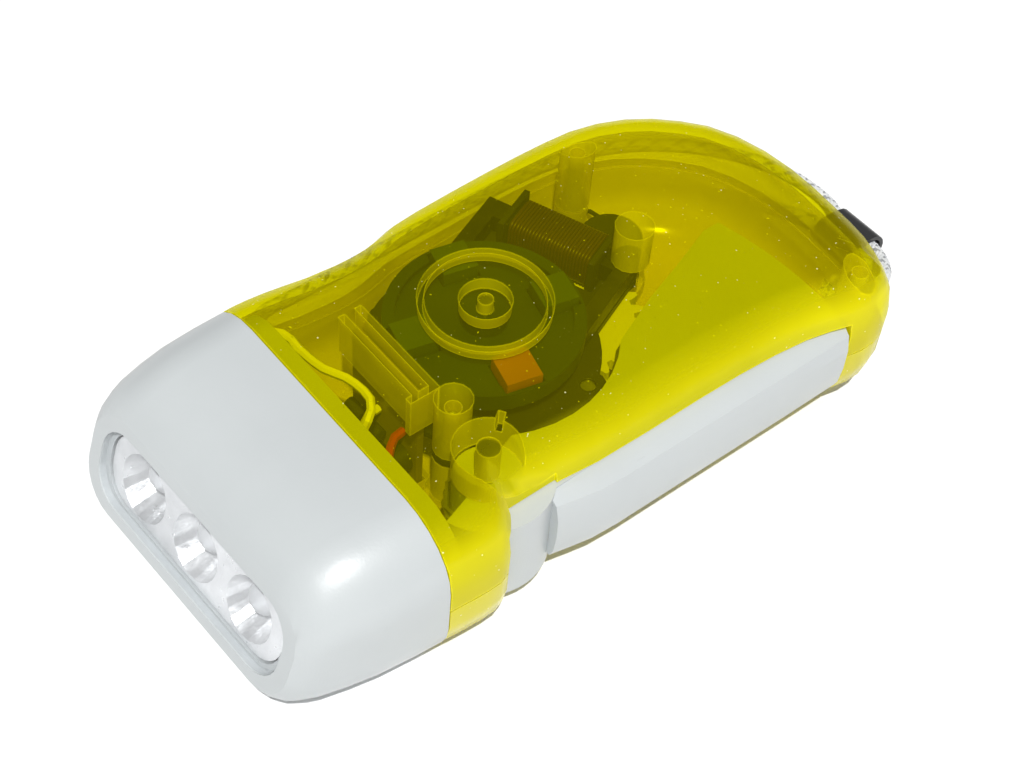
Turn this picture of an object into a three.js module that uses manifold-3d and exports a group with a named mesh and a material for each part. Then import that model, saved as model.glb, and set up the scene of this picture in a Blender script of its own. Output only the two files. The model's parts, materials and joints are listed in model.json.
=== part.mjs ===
// Squeeze lever dynamo torch: clear casing, closed lever, gear train, flywheel and three lamps.
// Millimetres. +Z is up, +Y is the tail, the beam goes to -Y and the lever is on the +X side.
import * as THREE from "three";
import { mergeVertices } from "three/addons/utils/BufferGeometryUtils.js";
import Module from "manifold-3d";

const wasm = await Module();
wasm.setup();

// Overall sizes
const headLength = 22.5;
const bodyLength = 78.3;
const halfWidth = 24.8;
const thickness = 25.2;
const wall = 1.7;
const shoulder = 9;

// Clearances
const gap = 0.3;
const seamGap = 0.2;
const pinFit = 0.06;
const overcut = 1.2;
const quarterTurn = 90;
const halfTurn = 180;

// Outline of the casing, near side first and round the tail.
// Shares: place across the half width, place from seam to tail, and the shoulder's lean inwards.
const outlineShares = [
  [0.984, 0, -1, 0], [0.996, 0.044, -1, 0], [1, 0.081, -1, 0], [0.988, 0.106, -1, 0],
  [0.931, 0.127, -1, 0], [0.867, 0.145, -1, 0], [0.842, 0.176, -1, 0], [0.839, 0.229, -1, 0],
  [0.863, 0.306, -1, 0], [0.871, 0.434, -1, 0], [0.871, 0.561, -1, 0], [0.883, 0.663, -1, 0],
  [0.908, 0.746, -1, 0], [0.948, 0.804, -1, 0], [0.988, 0.848, -1, -0.02], [1, 0.884, -0.98, -0.1],
  [0.976, 0.9215, -0.9, -0.3], [0.935, 0.942, -0.83, -0.46], [0.875, 0.956, -0.73, -0.62],
  [0.75, 0.9765, -0.54, -0.8], [0.585, 0.9885, -0.32, -0.92], [0.387, 0.9955, -0.14, -0.98],
  [0.173, 1, 0, -1], [-0.056, 0.9968, 0.12, -0.99], [-0.302, 0.9802, 0.33, -0.93],
  [-0.516, 0.9496, 0.5, -0.85], [-0.681, 0.9048, 0.66, -0.74], [-0.819, 0.8525, 0.82, -0.56],
  [-0.919, 0.7912, 0.92, -0.38], [-0.98, 0.721, 0.98, -0.2], [-0.997, 0.65, 1, -0.06],
  [-1, 0.573, 1, 0], [-0.995, 0.48, 1, 0], [-0.984, 0.382, 1, 0], [-0.968, 0.325, 1, 0],
  [-0.934, 0.287, 1, 0], [-0.916, 0.243, 1, 0], [-0.916, 0.206, 1, 0], [-0.935, 0.141, 1, 0],
  [-0.962, 0.0945, 1, 0], [-0.98, 0.055, 1, 0], [-0.988, 0.02, 1, 0], [-0.988, 0, 1, 0],
];
const outlineSteps = 52;
const shoulderSteps = 4;

// Head: shares are place from seam to front, half width, half height and corner radius.
const headShares = [
  [0, 0.985, 1, 1], [0.17, 0.978, 0.996, 1], [0.41, 0.965, 0.972, 0.99], [0.61, 0.945, 0.925, 0.96],
  [0.8, 0.92, 0.855, 0.9], [0.89, 0.9, 0.8, 0.85], [0.945, 0.88, 0.74, 0.79],
  [0.98, 0.855, 0.67, 0.72], [1, 0.825, 0.585, 0.62],
];
const headWall = 1.8;
const cornerSteps = 6;
const collarDepth = 3.3;
const collarWall = 1.2;
const noseLean = 7.6;
const noseShift = 0.7;
const noseSkew = 1.5;

// Lamps
const slotHalfWidth = 18.4;
const slotHalfHeight = 5.7;
const lensFit = 0.15;
const lensThickness = 0.9;
const lensInset = 0.1;
const lensLedge = 0.9;
const lensLip = 0.4;
const lampPitch = 10.8;
const lampRadius = 2.5;
const lampLength = 5.9;
const lampRim = 2.9;
const lampRimThickness = 0.9;
const cupRadius = 5.3;
const reflectorDepth = 8.3;
const reflectorHalfWidth = 18.9;
const reflectorHalfHeight = 6.2;
const reflectorFit = 0.15;
const boardThickness = 1.2;
const lampBoardHalfWidth = 18;
const lampBoardHalfHeight = 6;
const lampCount = 3;
const domeSteps = 4;

// Gear train, from the flywheel back to the lever. Angles are degrees from +X.
const toothModule = 0.8;
const pressureAngle = 25;
const addendum = 0.64;
const dedendum = 0.86;
const backlash = 0.2;
const flywheelFromSide = 28.8;
const flywheelFromSeam = 27.05;
const flywheelTeeth = 8;
const secondWheelTeeth = 25;
const secondPinionTeeth = 10;
const firstWheelTeeth = 22;
const firstPinionTeeth = 10;
const sectorTeeth = 45;
const secondDirection = 84.4;
const firstDirection = -27.4;
const leverDirection = -75;
const sectorBack = 1;
const sectorAhead = 5;
const axleRadius = 1;
const hubRadius = 2.6;
const sleeveRadius = 1.8;
const shaftSeat = 9.9;
const shaftDepth = 2.7;
const firstWheelLow = 4.6;
const firstWheelHigh = 6.4;
const firstPinionLow = 6.9;
const firstPinionHigh = 10.1;
const secondWheelLow = 10.6;
const secondWheelHigh = 12.4;

// Gear plate, magnet, flywheel
const plateThickness = 1;
const plateRadius = 15.5;
const platePostOffsets = [[-11.3, -7.1], [-13.5, 4.85]];
const earRadius = 2.4;
const magnetRadius = 8.5;
const magnetBore = 4.3;
const magnetHeight = 2.9;
const flywheelRadius = 13;
const flywheelHeight = 2.7;
const flywheelRim = 1.6;
const flywheelDish = 0.7;
const flywheelHub = 3;
const weightRadial = 4.8;
const weightWidth = 4.8;
const weightHeight = 2.2;
const weightSink = 0.4;
const weightFromRim = 3.3;
const weightTurn = -14;
const clutchRadius = 3;
const clutchTeeth = 8;
const clutchDepth = 0.6;
const clutchHeight = 1.4;
const pawlFinger = 1.6;

// Stator: a C core round the magnet, with its coil on the back leg
const statorDirection = 112;
const poleGap = 0.6;
const coreWidth = 2.2;
const coreBack = 21.5;
const coreLegWidth = 3;
const coreHeight = 2.6;
const bobbinLength = 14.4;
const bobbinWall = 0.5;
const bobbinFlange = 0.8;
const flangeProud = 1.4;
const flangeRise = 0.9;
const poleMouth = 4;
const windingTurns = 11;
const wireRadius = 0.27;
const windingPitch = 1;

// Lever
const pinRadius = 1.5;
const barrelRadius = 4.2;
const hubBlockRadius = 8.5;
const leverTop = 18.2;
const leverLow = 6.5;
const hubBlockLow = 4.6;
const webThickness = 1.6;
const webClear = 17.5;
const leverFromTail = 12.25;
const gripWall = 1.6;
const gripDepth = 4;
const gripFromSeam = 17.35;
const leverSwing = 28;
const ribThickness = 1.2;
const springWire = 0.35;
const springRadius = 4.95;
const springTurns = 2.69;
const springPitch = 1.15;
const springLow = 10.9;
const springStart = 180;
const springLeg = 4.5;
const springFoot = 2.6;
const hubBlockFrom = -72;
const hubBlockTo = 60;
const webTurn = 118;
const webArcFrom = -27;
const webArcTo = 47;
const ribCount = 3;
const ribPitch = 12;
const ribLow = 9;

// Casing features
const openingFront = 9.3;
const openingDepth = 7.6;
const openingCorner = 0.87;
const openingArcTo = 70;
const ledgeDepth = 4.8;
const ledgeStart = 11;
const ledgeEnd = 18.9;
const bossRadius = 2.4;
const postRadius = 2;
const pinBoss = 3.2;
const screwHeadRadius = 2;
const screwHeadHeight = 1.3;
const screwLength = 16;
const screwRadius = 1;
const screwFit = 0.15;
const headBoss = 3.2;
const headScrewOffset = [10.2, -12.9];
const headBossHigh = 5.2;
const headSeat = 4;
const ringRibRadius = 8.6;
const ringRibWall = 0.8;
const ringRibDepth = 1.5;
const bearingRadius = 3.4;
const pivotBossRadius = 4.4;
const gussetTurn = 125;
const farPostRadius = 2.6;
const recoil = 0.4;

// Rectifier board in its pocket
const rectifierFromFlywheel = 7;
const rectifierWidth = 13.6;
const rectifierFromSeam = 11.65;
const rectifierThick = 1;
const rectifierLow = 3.6;
const rectifierHigh = 21.4;
const pocketWall = 0.9;
const pocketDepth = 6.4;
const diodeRadius = 0.9;
const diodeLength = 3;
const diodePitch = 2.9;
const capacitorRadius = 2;
const capacitorLength = 5.5;
const diodeInset = 2.4;
const diodeSpacing = 3.8;
const diodeRows = 2;
const diodeColumns = 2;

// Storage cell in its ring on the floor of the casing
const cellOffset = [-6.9, 28.25];
const cellRadius = 4.4;
const cellHeight = 9.2;
const cellLift = 0.5;
const cellRingHigh = 4.2;

// Latch that holds the lever shut
const latchFromSide = 12.6;
const latchFromTail = 11.2;
const latchTravel = 3.5;
const latchWidth = 5;
const latchLength = 3.4;
const latchFlange = 0.8;
const latchPlate = 1.2;
const latchPinWidth = 2.5;
const latchPinLength = 2;
const latchPinHigh = 9.5;
const latchInset = 0.3;
const catchFromSide = 15.6;
const catchFromTail = 17.35;
const catchWidth = 2.6;
const catchLength = 3;
const catchLow = 6.8;

// Wrist strap
const cordRadius = 1;
const cordSpacing = 2.7;
const strapFromSide = 11.4;
const strapZ = 7.5;
const cordSteps = 80;
const sleeveEnds = [[-0.2, 62.3, 2.1], [7.4, 61.5, 3.15]];
const sleeveWall = 0.6;
const sleeveRoom = 0.35;
const anchorLength = 6.4;
const anchorThickness = 1.8;
const anchorInset = 5.4;
const strapSlack = 0.4;

// Leads
const leadRadius = 0.6;
const thinLeadRadius = 0.35;
const leadSteps = 2;
const thinLeadSteps = 1.4;

// Places across the half width and along the casing, and the grip's section and its line
const screwShares = { tail: [0.7903, 0.8985], far: [-0.746, 0.6948] };
const farPostShares = [-0.1048, 0.6469];
const webEdgeShares = [[0.1895, 0.6098], [0.1089, 0.6877], [0.0, 0.7835], [0.0, 0.9183]];
const gripSectionShares = [
  [-0.4, 0], [0.775, 0], [0.925, 0.128], [1, 0.385], [0.975, 0.684], [0.825, 0.889], [0.45, 0.974], [0, 1],
  [-0.4, 1],
];
const gripLineShares = [[1.1, 0], [0.8, 0], [0.42, -0.04], [0.2, -0.06], [0.12, -0.12], [0.06, -0.26], [0, -0.42]];

// Facets
const roundSides = 24;
const smallSides = 14;
const arcSteps = 8;
const loopSteps = 8;
const loopSides = 6;
const curlSteps = 8;
const curlSides = 5;
const tubeSides = 8;
const leadSides = 7;
const thinLeadSides = 5;
const weld = 1e-4;

// Values that follow from the sizes
const seamY = (headLength - bodyLength) / 2;
const frontY = seamY - headLength;
const tailY = seamY + bodyLength;
const flywheelX = halfWidth - flywheelFromSide;
const flywheelY = seamY + flywheelFromSeam;
const rectifierLeft = flywheelX - rectifierFromFlywheel;
const rectifierRight = rectifierLeft + rectifierWidth;
const rectifierY = seamY + rectifierFromSeam;
const gripStart = seamY + gripFromSeam;
const gripInner = halfWidth - gripDepth;
const openingInner = halfWidth - openingDepth;
const ledgeX = halfWidth - ledgeDepth;
const latchX = halfWidth - latchFromSide;
const latchY = tailY - latchFromTail;
const catchX = halfWidth - catchFromSide;
const catchY = tailY - catchFromTail;
const strapX = halfWidth - strapFromSide;
const mid = thickness / 2;
const straight = mid - shoulder;
const roof = thickness - wall;
const openingTop = leverTop + gap;
const openingLow = leverLow - gap;
const plateLow = mid + gap;
const plateHigh = plateLow + plateThickness;
const magnetLow = plateHigh + recoil;
const magnetHigh = magnetLow + magnetHeight;
const flywheelLow = magnetHigh + gap;
const flywheelTop = flywheelLow + flywheelHeight;
const dishTop = flywheelTop - flywheelDish;
const weightCentre = flywheelRadius - weightFromRim;
const weightLow = dishTop - weightSink;
const bearingLow = weightLow + weightHeight + recoil;
const clutchLow = plateHigh + gap;
const clutchHigh = clutchLow + clutchHeight;
const radians = THREE.MathUtils.degToRad;
const fullTurn = 2 * Math.PI;

const pitchRadius = (teeth) => (teeth * toothModule) / 2;
const polar = (x, y, degrees, distance) => [
  x + distance * Math.cos(radians(degrees)),
  y + distance * Math.sin(radians(degrees)),
];
const flywheelAt = [flywheelX, flywheelY];
const secondAt = polar(
  ...flywheelAt, secondDirection, pitchRadius(flywheelTeeth) + pitchRadius(secondWheelTeeth));
const firstAt = polar(
  ...secondAt, firstDirection, pitchRadius(secondPinionTeeth) + pitchRadius(firstWheelTeeth));
const pivotAt = polar(
  ...firstAt, leverDirection, pitchRadius(firstPinionTeeth) + pitchRadius(sectorTeeth));
const leverReach = tailY - leverFromTail - pivotAt[1];

const spot = ([x, y]) => [x * halfWidth, seamY + y * bodyLength];
const fromFlywheel = ([x, y, ...z]) => [flywheelX + x, flywheelY + y, ...z];
const headScrewAt = fromFlywheel(headScrewOffset);
const screwPlaces = [headScrewAt, spot(screwShares.tail), spot(screwShares.far)];
const platePosts = platePostOffsets.map(fromFlywheel);
const cellAt = fromFlywheel(cellOffset);
const cellLow = wall + cellLift;
const farPostAt = spot(farPostShares);

// Materials
const look = (color, roughness, metalness = 0, opacity = 1) =>
  new THREE.MeshStandardMaterial({
    color, roughness, metalness, opacity, transparent: opacity < 1,
  });
const looks = {
  casing: look(0xd8c800, 0.25, 0, 0.55),
  grey: look(0xcfd3d3, 0.45),
  clear: look(0xf4f6f8, 0.05, 0, 0.3),
  mirror: look(0xe6e8ea, 0.15, 0.9),
  board: look(0x2f6b3a, 0.6),
  nylon: look(0xece8dc, 0.5),
  steel: look(0x9a9ea2, 0.35, 0.9),
  darkSteel: look(0x34383a, 0.5, 0.7),
  black: look(0x1d1f20, 0.6),
  copper: look(0xb5652b, 0.35, 0.8),
  orange: look(0xd2691e, 0.6),
  whiteWire: look(0xf0f0ec, 0.5),
  redWire: look(0xb3261c, 0.5),
  cord: look(0xbfc2c4, 0.85),
};

const torch = new THREE.Group();

// Solids

// Turns a closed geometry into a solid, with its faces pointing out.
function solid(geometry) {
  const bare = geometry.clone();
  for (const name of Object.keys(bare.attributes)) {
    if (name !== "position") bare.deleteAttribute(name);
  }
  const welded = mergeVertices(bare, weld);
  const corners = welded.attributes.position.array;
  const faces = Uint32Array.from(welded.index.array);
  let volume = 0;
  for (let i = 0; i < faces.length; i += 3) {
    const [a, b, c] = [0, 1, 2].map((k) => new THREE.Vector3().fromArray(corners, 3 * faces[i + k]));
    volume += a.dot(b.cross(c));
  }
  if (volume < 0) faces.reverse();
  return new wasm.Manifold(new wasm.Mesh({
    numProp: 3, vertProperties: Float32Array.from(corners), triVerts: faces,
  }));
}

const join = (first, ...others) => others.reduce((all, one) => all.add(one), first);
const cut = (first, ...tools) => tools.reduce((rest, tool) => rest.subtract(tool), first);

// Adds a solid to the torch as a named part.
function part(name, body, material) {
  const found = body.getMesh();
  const geometry = new THREE.BufferGeometry();
  geometry.setAttribute("position", new THREE.BufferAttribute(found.vertProperties, found.numProp));
  geometry.setIndex(new THREE.BufferAttribute(found.triVerts, 1));
  geometry.computeVertexNormals();
  const mesh = new THREE.Mesh(geometry, material);
  mesh.name = name;
  torch.add(mesh);
}

function block(x0, x1, y0, y1, z0, z1) {
  const box = new THREE.BoxGeometry(x1 - x0, y1 - y0, z1 - z0);
  box.translate((x0 + x1) / 2, (y0 + y1) / 2, (z0 + z1) / 2);
  return solid(box);
}

// A box about a point, turned about Z.
function turnedBlock([x, y], degrees, along, across, low, high) {
  const box = new THREE.BoxGeometry(along, across, high - low);
  box.rotateZ(radians(degrees));
  box.translate(x, y, (low + high) / 2);
  return solid(box);
}

function drum([x, y], radius, low, high, sides = roundSides) {
  const round = new THREE.CylinderGeometry(radius, radius, high - low, sides);
  round.rotateX(Math.PI / 2);
  round.translate(x, y, (low + high) / 2);
  return solid(round);
}

// A cone or cylinder along Y, with one radius at each end.
function roundAlongY(x, z, nearY, nearRadius, farY, farRadius, sides = roundSides) {
  const round = new THREE.CylinderGeometry(farRadius, nearRadius, farY - nearY, sides);
  round.translate(x, (nearY + farY) / 2, z);
  return solid(round);
}

// An outline of [x, y] points raised from one height to another.
function slab(points, low, high) {
  const shape = new THREE.Shape(points.map(([x, y]) => new THREE.Vector2(x, y)));
  const raised = new THREE.ExtrudeGeometry(shape, { depth: high - low, bevelEnabled: false });
  raised.translate(0, 0, low);
  return solid(raised);
}

// A turned piece about a vertical axis. The profile's points are [radius, height].
function turned([x, y], profile, sides = roundSides) {
  const points = profile.map(([radius, height]) => new THREE.Vector2(radius, height));
  const round = new THREE.LatheGeometry(points, sides);
  round.rotateX(Math.PI / 2);
  round.translate(x, y, 0);
  return solid(round);
}

// A closed skin through rings of equal count. flat gives a ring point's place on the end caps.
function loft(rings, flat) {
  const count = rings[0].length;
  const last = (rings.length - 1) * count;
  const index = [];
  for (let start = 0; start < last; start += count) {
    for (let i = 0; i < count; i += 1) {
      const a = start + i;
      const b = start + ((i + 1) % count);
      index.push(a, b, a + count, b, b + count, a + count);
    }
  }
  for (const [a, b, c] of THREE.ShapeUtils.triangulateShape(rings[0].map(flat), [])) {
    index.push(c, b, a);
  }
  for (const [a, b, c] of THREE.ShapeUtils.triangulateShape(rings.at(-1).map(flat), [])) {
    index.push(last + a, last + b, last + c);
  }
  const skin = new THREE.BufferGeometry();
  skin.setAttribute("position", new THREE.Float32BufferAttribute(rings.flat().flatMap((p) => p.toArray()), 3));
  skin.setIndex(index);
  return solid(skin);
}

// A tube of one radius through points.
function tube(points, radius, steps, sides = tubeSides) {
  const path = new THREE.CatmullRomCurve3(points.map((p) => new THREE.Vector3(...p)));
  const round = new THREE.Shape();
  for (let i = 0; i < sides; i += 1) {
    const angle = (fullTurn * i) / sides;
    const move = i === 0 ? "moveTo" : "lineTo";
    round[move](radius * Math.cos(angle), radius * Math.sin(angle));
  }
  return solid(new THREE.ExtrudeGeometry(round, { steps, extrudePath: path, bevelEnabled: false }));
}

// The part of a disc between two directions.
function wedge(at, radius, from, to, low, high) {
  const steps = 2 * arcSteps;
  const points = [at];
  for (let i = 0; i <= steps; i += 1) points.push(polar(...at, from + ((to - from) * i) / steps, radius));
  return slab(points, low, high);
}

// Casing

const baseCurve = new THREE.CatmullRomCurve3(outlineShares.map(([x, y]) =>
  new THREE.Vector3(x * halfWidth, seamY + seamGap + y * (bodyLength - seamGap), 0)));
const leanCurve = new THREE.CatmullRomCurve3(outlineShares.map(([, , x, y]) => new THREE.Vector3(x, y, 0)));

// The casing's outline at a height, moved in by a wall.
function casingRing(z, inward) {
  const radius = shoulder - inward;
  const rise = Math.max(0, Math.abs(z - mid) - straight);
  const lean = inward + radius - Math.sqrt(Math.max(0, radius * radius - rise * rise));
  const ring = [];
  for (let i = 0; i <= outlineSteps; i += 1) {
    const share = i / outlineSteps;
    ring.push(baseCurve.getPoint(share).addScaledVector(leanCurve.getPoint(share), lean).setZ(z));
  }
  if (inward > 0) {
    ring.unshift(ring[0].clone().setY(ring[0].y - overcut));
    ring.push(ring.at(-1).clone().setY(ring.at(-1).y - overcut));
  }
  return ring;
}

// The casing's form above the parting plane, or its mirror image below it.
function casingForm(side, from, inward) {
  const radius = shoulder - inward;
  const heights = [from, straight];
  for (let i = 1; i <= shoulderSteps; i += 1) {
    heights.push(straight + radius * Math.sin((Math.PI / 2) * (i / shoulderSteps)));
  }
  const rings = heights.map((height) => casingRing(mid + side * height, inward));
  return loft(side > 0 ? rings : rings.reverse(), (p) => new THREE.Vector2(p.x, p.y));
}

const openingY = seamY + openingFront;
const ledgeY = [seamY + ledgeStart, seamY + ledgeEnd];

// The side opening for the lever between two heights. Its tail end is an arc about the pivot.
function leverOpening(low, high) {
  const arc = [];
  const reach = leverReach + gap;
  const from = THREE.MathUtils.radToDeg(Math.acos((openingInner + openingCorner - pivotAt[0]) / reach));
  for (let i = 0; i <= arcSteps; i += 1) {
    arc.push(polar(...pivotAt, from + ((openingArcTo - from) * i) / arcSteps, reach));
  }
  const far = arc.at(-1);
  const points = [
    [openingInner, openingY], [openingInner, arc[0][1]], ...arc,
    [far[0] + halfWidth, far[1]], [far[0] + halfWidth, openingY],
  ];
  return slab(points.reverse(), low, high);
}

// Room for the lever's hub block all through its swing.
const hubRoom = () => wedge(
  pivotAt, hubBlockRadius + gap, hubBlockFrom - leverSwing, hubBlockTo, hubBlockLow - gap, openingTop);

// Bores for the screws that join the two shells.
const screwBores = (low, high) =>
  screwPlaces.map((place) => drum(place, screwRadius + screwFit, low, high, smallSides));

// Walls round the rectifier board, between two heights.
function pocketWalls(low, high) {
  const nearY = rectifierY - gap - pocketWall;
  const farY = rectifierY + rectifierThick + gap;
  const left = rectifierLeft - gap - pocketWall;
  const right = rectifierRight + gap + pocketWall;
  return join(
    block(left, right, nearY, nearY + pocketWall, low, high),
    block(left, right, farY, farY + pocketWall, low, high),
    block(right - pocketWall, right, nearY - pocketWall, farY + pocketWall, low, high),
  );
}

function upperShell() {
  const outer = casingForm(1, seamGap / 2, 0);
  const ceiling = roof + wall / 2;
  const ribLow = roof - ringRibDepth;
  const ringRib = cut(
    drum(flywheelAt, ringRibRadius, ribLow, ceiling, 2 * roundSides),
    drum(flywheelAt, ringRibRadius - ringRibWall, ribLow - overcut, roof, 2 * roundSides),
  );
  const gussets = [gussetTurn, gussetTurn - quarterTurn].map((degrees) =>
    turnedBlock(polar(...pivotAt, degrees, pivotBossRadius), degrees,
      bossRadius, pocketWall, roof - bossRadius, ceiling));
  const bosses = screwPlaces.map((place) =>
    drum(place, bossRadius, place === screwPlaces[0] ? clutchLow : mid, ceiling, smallSides));
  const inside = join(
    ringRib, ...gussets, ...bosses,
    drum(flywheelAt, bearingRadius, bearingLow, ceiling),
    drum(farPostAt, farPostRadius, clutchLow + coreHeight + recoil, ceiling, smallSides),
    drum(pivotAt, pivotBossRadius, openingTop, ceiling),
    pocketWalls(roof - pocketDepth, ceiling),
  );
  return cut(
    join(cut(outer, casingForm(1, -overcut, wall)), inside.intersect(outer)),
    drum(flywheelAt, axleRadius + pinFit, bearingLow - overcut, roof, smallSides),
    drum(pivotAt, pinRadius + pinFit, openingTop - overcut, roof, smallSides),
    ...screwBores(mid, roof - wall),
    leverOpening(mid - overcut, openingTop),
    hubRoom(),
    block(ledgeX, halfWidth + overcut, ...ledgeY, openingTop - overcut, thickness + overcut),
  );
}
part("upper_shell", upperShell(), looks.casing);

const anchorY = tailY - anchorInset;
const latchWindow = latchWidth / 2 + gap;
const latchNearY = latchY - latchLength / 2 - latchTravel - gap;

function lowerShell() {
  const outer = casingForm(-1, seamGap / 2, 0);
  const floor = wall / 2;
  const bosses = screwPlaces.map((place) =>
    drum(place, bossRadius, floor, place === screwPlaces[0] ? plateLow - gap : mid, smallSides));
  const seats = screwPlaces.map((place) => drum(place, headBoss, floor, headBossHigh, smallSides));
  const posts = platePosts.map((place) => drum(place, postRadius, floor, mid, smallSides));
  const axleSeats = [firstAt, secondAt].map((place) =>
    drum(place, hubRadius, floor, firstWheelLow - gap, smallSides));
  const slotHigh = cordRadius + strapSlack;
  const inside = join(
    ...bosses, ...seats, ...posts, ...axleSeats,
    drum(flywheelAt, hubRadius, floor, shaftSeat, smallSides),
    drum(pivotAt, pinBoss, floor, hubBlockLow - gap),
    cut(
      drum(cellAt, cellRadius + gap + pocketWall, floor, cellRingHigh, smallSides),
      drum(cellAt, cellRadius + gap, cellLow, cellRingHigh + overcut),
    ),
    pocketWalls(floor, rectifierLow + pocketWall),
    block(rectifierLeft, rectifierRight, rectifierY - gap, rectifierY + rectifierThick + gap,
      floor, rectifierLow - gap),
    block(strapX - anchorLength / 2, strapX + anchorLength / 2, anchorY - anchorThickness, anchorY,
      floor, strapZ + bossRadius),
  );
  const counterbores = screwPlaces.map((place) =>
    drum(place, screwHeadRadius + screwFit, -overcut, headSeat, smallSides));
  const axleBores = [firstAt, secondAt].map((place) =>
    drum(place, axleRadius + pinFit, wall / 2, firstWheelLow, smallSides));
  const slotWide = cordSpacing / 2 + slotHigh;
  return cut(
    join(cut(outer, casingForm(-1, -overcut, wall)), inside.intersect(outer)),
    ...counterbores, ...axleBores, ...screwBores(wall, mid),
    drum(flywheelAt, axleRadius + pinFit, shaftSeat - shaftDepth - gap, mid, smallSides),
    drum(pivotAt, pinRadius + pinFit, wall, mid, smallSides),
    leverOpening(openingLow, mid + overcut),
    hubRoom(),
    block(openingInner, halfWidth + overcut, openingY, ledgeY[1], hubBlockLow - gap, mid + overcut),
    block(strapX - slotWide, strapX + slotWide, anchorY, tailY + overcut,
      strapZ - slotHigh, strapZ + slotHigh),
    block(latchX - latchWindow, latchX + latchWindow, latchNearY, latchY + latchLength / 2 + gap,
      -overcut, wall + overcut),
  );
}
part("lower_shell", lowerShell(), looks.casing);

// Head

const slantUp = noseLean / thickness;
const slantAcross = noseSkew / (2 * halfWidth);

// A ring in the XZ plane with rounded corners, leaning back towards its top and its near side.
function headRing(y, halfAcross, halfHigh, radius, lean = 0, centre = -noseShift) {
  const ring = [];
  for (const [x, z, quarter] of [[1, 1, 0], [-1, 1, 1], [-1, -1, 2], [1, -1, 3]]) {
    for (let i = 0; i <= cornerSteps; i += 1) {
      const angle = radians(quarterTurn) * (quarter + i / cornerSteps);
      const px = x * (halfAcross - radius) + radius * Math.cos(angle);
      const pz = z * (halfHigh - radius) + radius * Math.sin(angle);
      const back = slantUp * (pz + halfHigh) + slantAcross * (px + halfAcross);
      ring.push(new THREE.Vector3(centre + px, y + lean * back, mid + pz));
    }
  }
  return ring;
}
const headLoft = (...rings) => loft(rings, (p) => new THREE.Vector2(p.x, p.z));

// Where a ring of a given size starts so that it lies in the plane of the bezel's face, then each depth behind it.
const [, faceAcross, faceHigh] = headShares[headShares.length - 1];
const facePlane = (across, high, behind) => frontY + behind
  + slantUp * (faceHigh * mid - high) + slantAcross * (faceAcross * halfWidth - across);
const lensRing = [slotHalfWidth - lensFit, slotHalfHeight - lensFit];
const lensFront = facePlane(...lensRing, lensInset);
const lensBack = lensFront + lensThickness;
const reflectorSeat = [slotHalfWidth - lensLedge, slotHalfHeight - lensLip];
const reflectorNose = reflectorSeat.map((size) => size - reflectorFit);
const reflectorFront = facePlane(...reflectorNose, lensInset + lensThickness + gap);
const reflectorBack = reflectorFront + reflectorDepth;
const rimFront = reflectorBack + gap;
const lampBoardFront = rimFront + lampRimThickness + gap;
const lampBoardBack = lampBoardFront + boardThickness;
const slotCorner = slotHalfHeight - collarWall;
const lampXs = Array.from({ length: lampCount }, (_, i) => lampPitch * (i - (lampCount - 1) / 2) - noseShift);

function headBezel() {
  const outer = headLoft(...headShares.map(([along, across, high, corner]) =>
    headRing(seamY - along * headLength, across * halfWidth, high * mid, corner * shoulder,
      along * along, -noseShift * along)));
  const across = headShares[0][1] * halfWidth - wall - gap;
  const high = mid - wall - gap;
  const corner = shoulder - wall - gap;
  const collar = headLoft(
    headRing(seamY + collarDepth, across, high, corner, 0, 0),
    headRing(seamY - collarDepth, across, high, corner, 0, 0),
  );
  const ledge = lensInset + lensThickness;
  const hollow = headLoft(
    headRing(seamY + collarDepth + overcut, across - collarWall, high - collarWall, corner - collarWall, 0, 0),
    headRing(lampBoardBack, across - collarWall, high - collarWall, corner - collarWall),
    headRing(reflectorBack, reflectorHalfWidth + gap, reflectorHalfHeight + gap, slotCorner + gap),
    headRing(facePlane(...reflectorSeat, ledge - gap), ...reflectorSeat, slotCorner, 1),
  );
  const slot = headLoft(
    headRing(facePlane(slotHalfWidth, slotHalfHeight, ledge), slotHalfWidth, slotHalfHeight, slotCorner, 1),
    headRing(frontY - overcut, slotHalfWidth, slotHalfHeight, slotCorner, 1),
  );
  return cut(join(outer, collar), hollow, slot);
}
part("head_bezel", headBezel(), looks.grey);

part("front_lens", headLoft(
  headRing(lensBack, ...lensRing, slotCorner - lensFit, 1),
  headRing(lensFront, ...lensRing, slotCorner - lensFit, 1),
), looks.clear);

function reflector() {
  const hole = lampRadius + gap;
  const blank = headLoft(
    headRing(reflectorBack, reflectorHalfWidth, reflectorHalfHeight, slotCorner),
    headRing(reflectorFront, ...reflectorNose, slotCorner - reflectorFit, 1),
  );
  const cups = lampXs.flatMap((x) => [
    roundAlongY(x, mid, reflectorFront - overcut, cupRadius, reflectorBack - boardThickness, hole),
    roundAlongY(x, mid, reflectorFront, hole, reflectorBack + overcut, hole),
  ]);
  return cut(blank, ...cups);
}
part("reflector", reflector(), looks.mirror);

// A lamp: rim, body and dome, turned about the beam's axis.
function lamp(x) {
  const dome = lampRimThickness + lampLength - lampRadius;
  const profile = [[0, 0], [lampRim, 0], [lampRim, lampRimThickness], [lampRadius, lampRimThickness]];
  for (let i = 0; i < domeSteps; i += 1) {
    const angle = radians(quarterTurn) * (i / domeSteps);
    profile.push([lampRadius * Math.cos(angle), dome + lampRadius * Math.sin(angle)]);
  }
  profile.push([0, dome + lampRadius]);
  const round = new THREE.LatheGeometry(profile.map((point) => new THREE.Vector2(...point)), roundSides);
  round.rotateX(Math.PI);
  round.translate(x, lampBoardFront - gap, mid);
  return solid(round);
}
lampXs.forEach((x, i) => part(`led_${i + 1}`, lamp(x), looks.clear));

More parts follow.
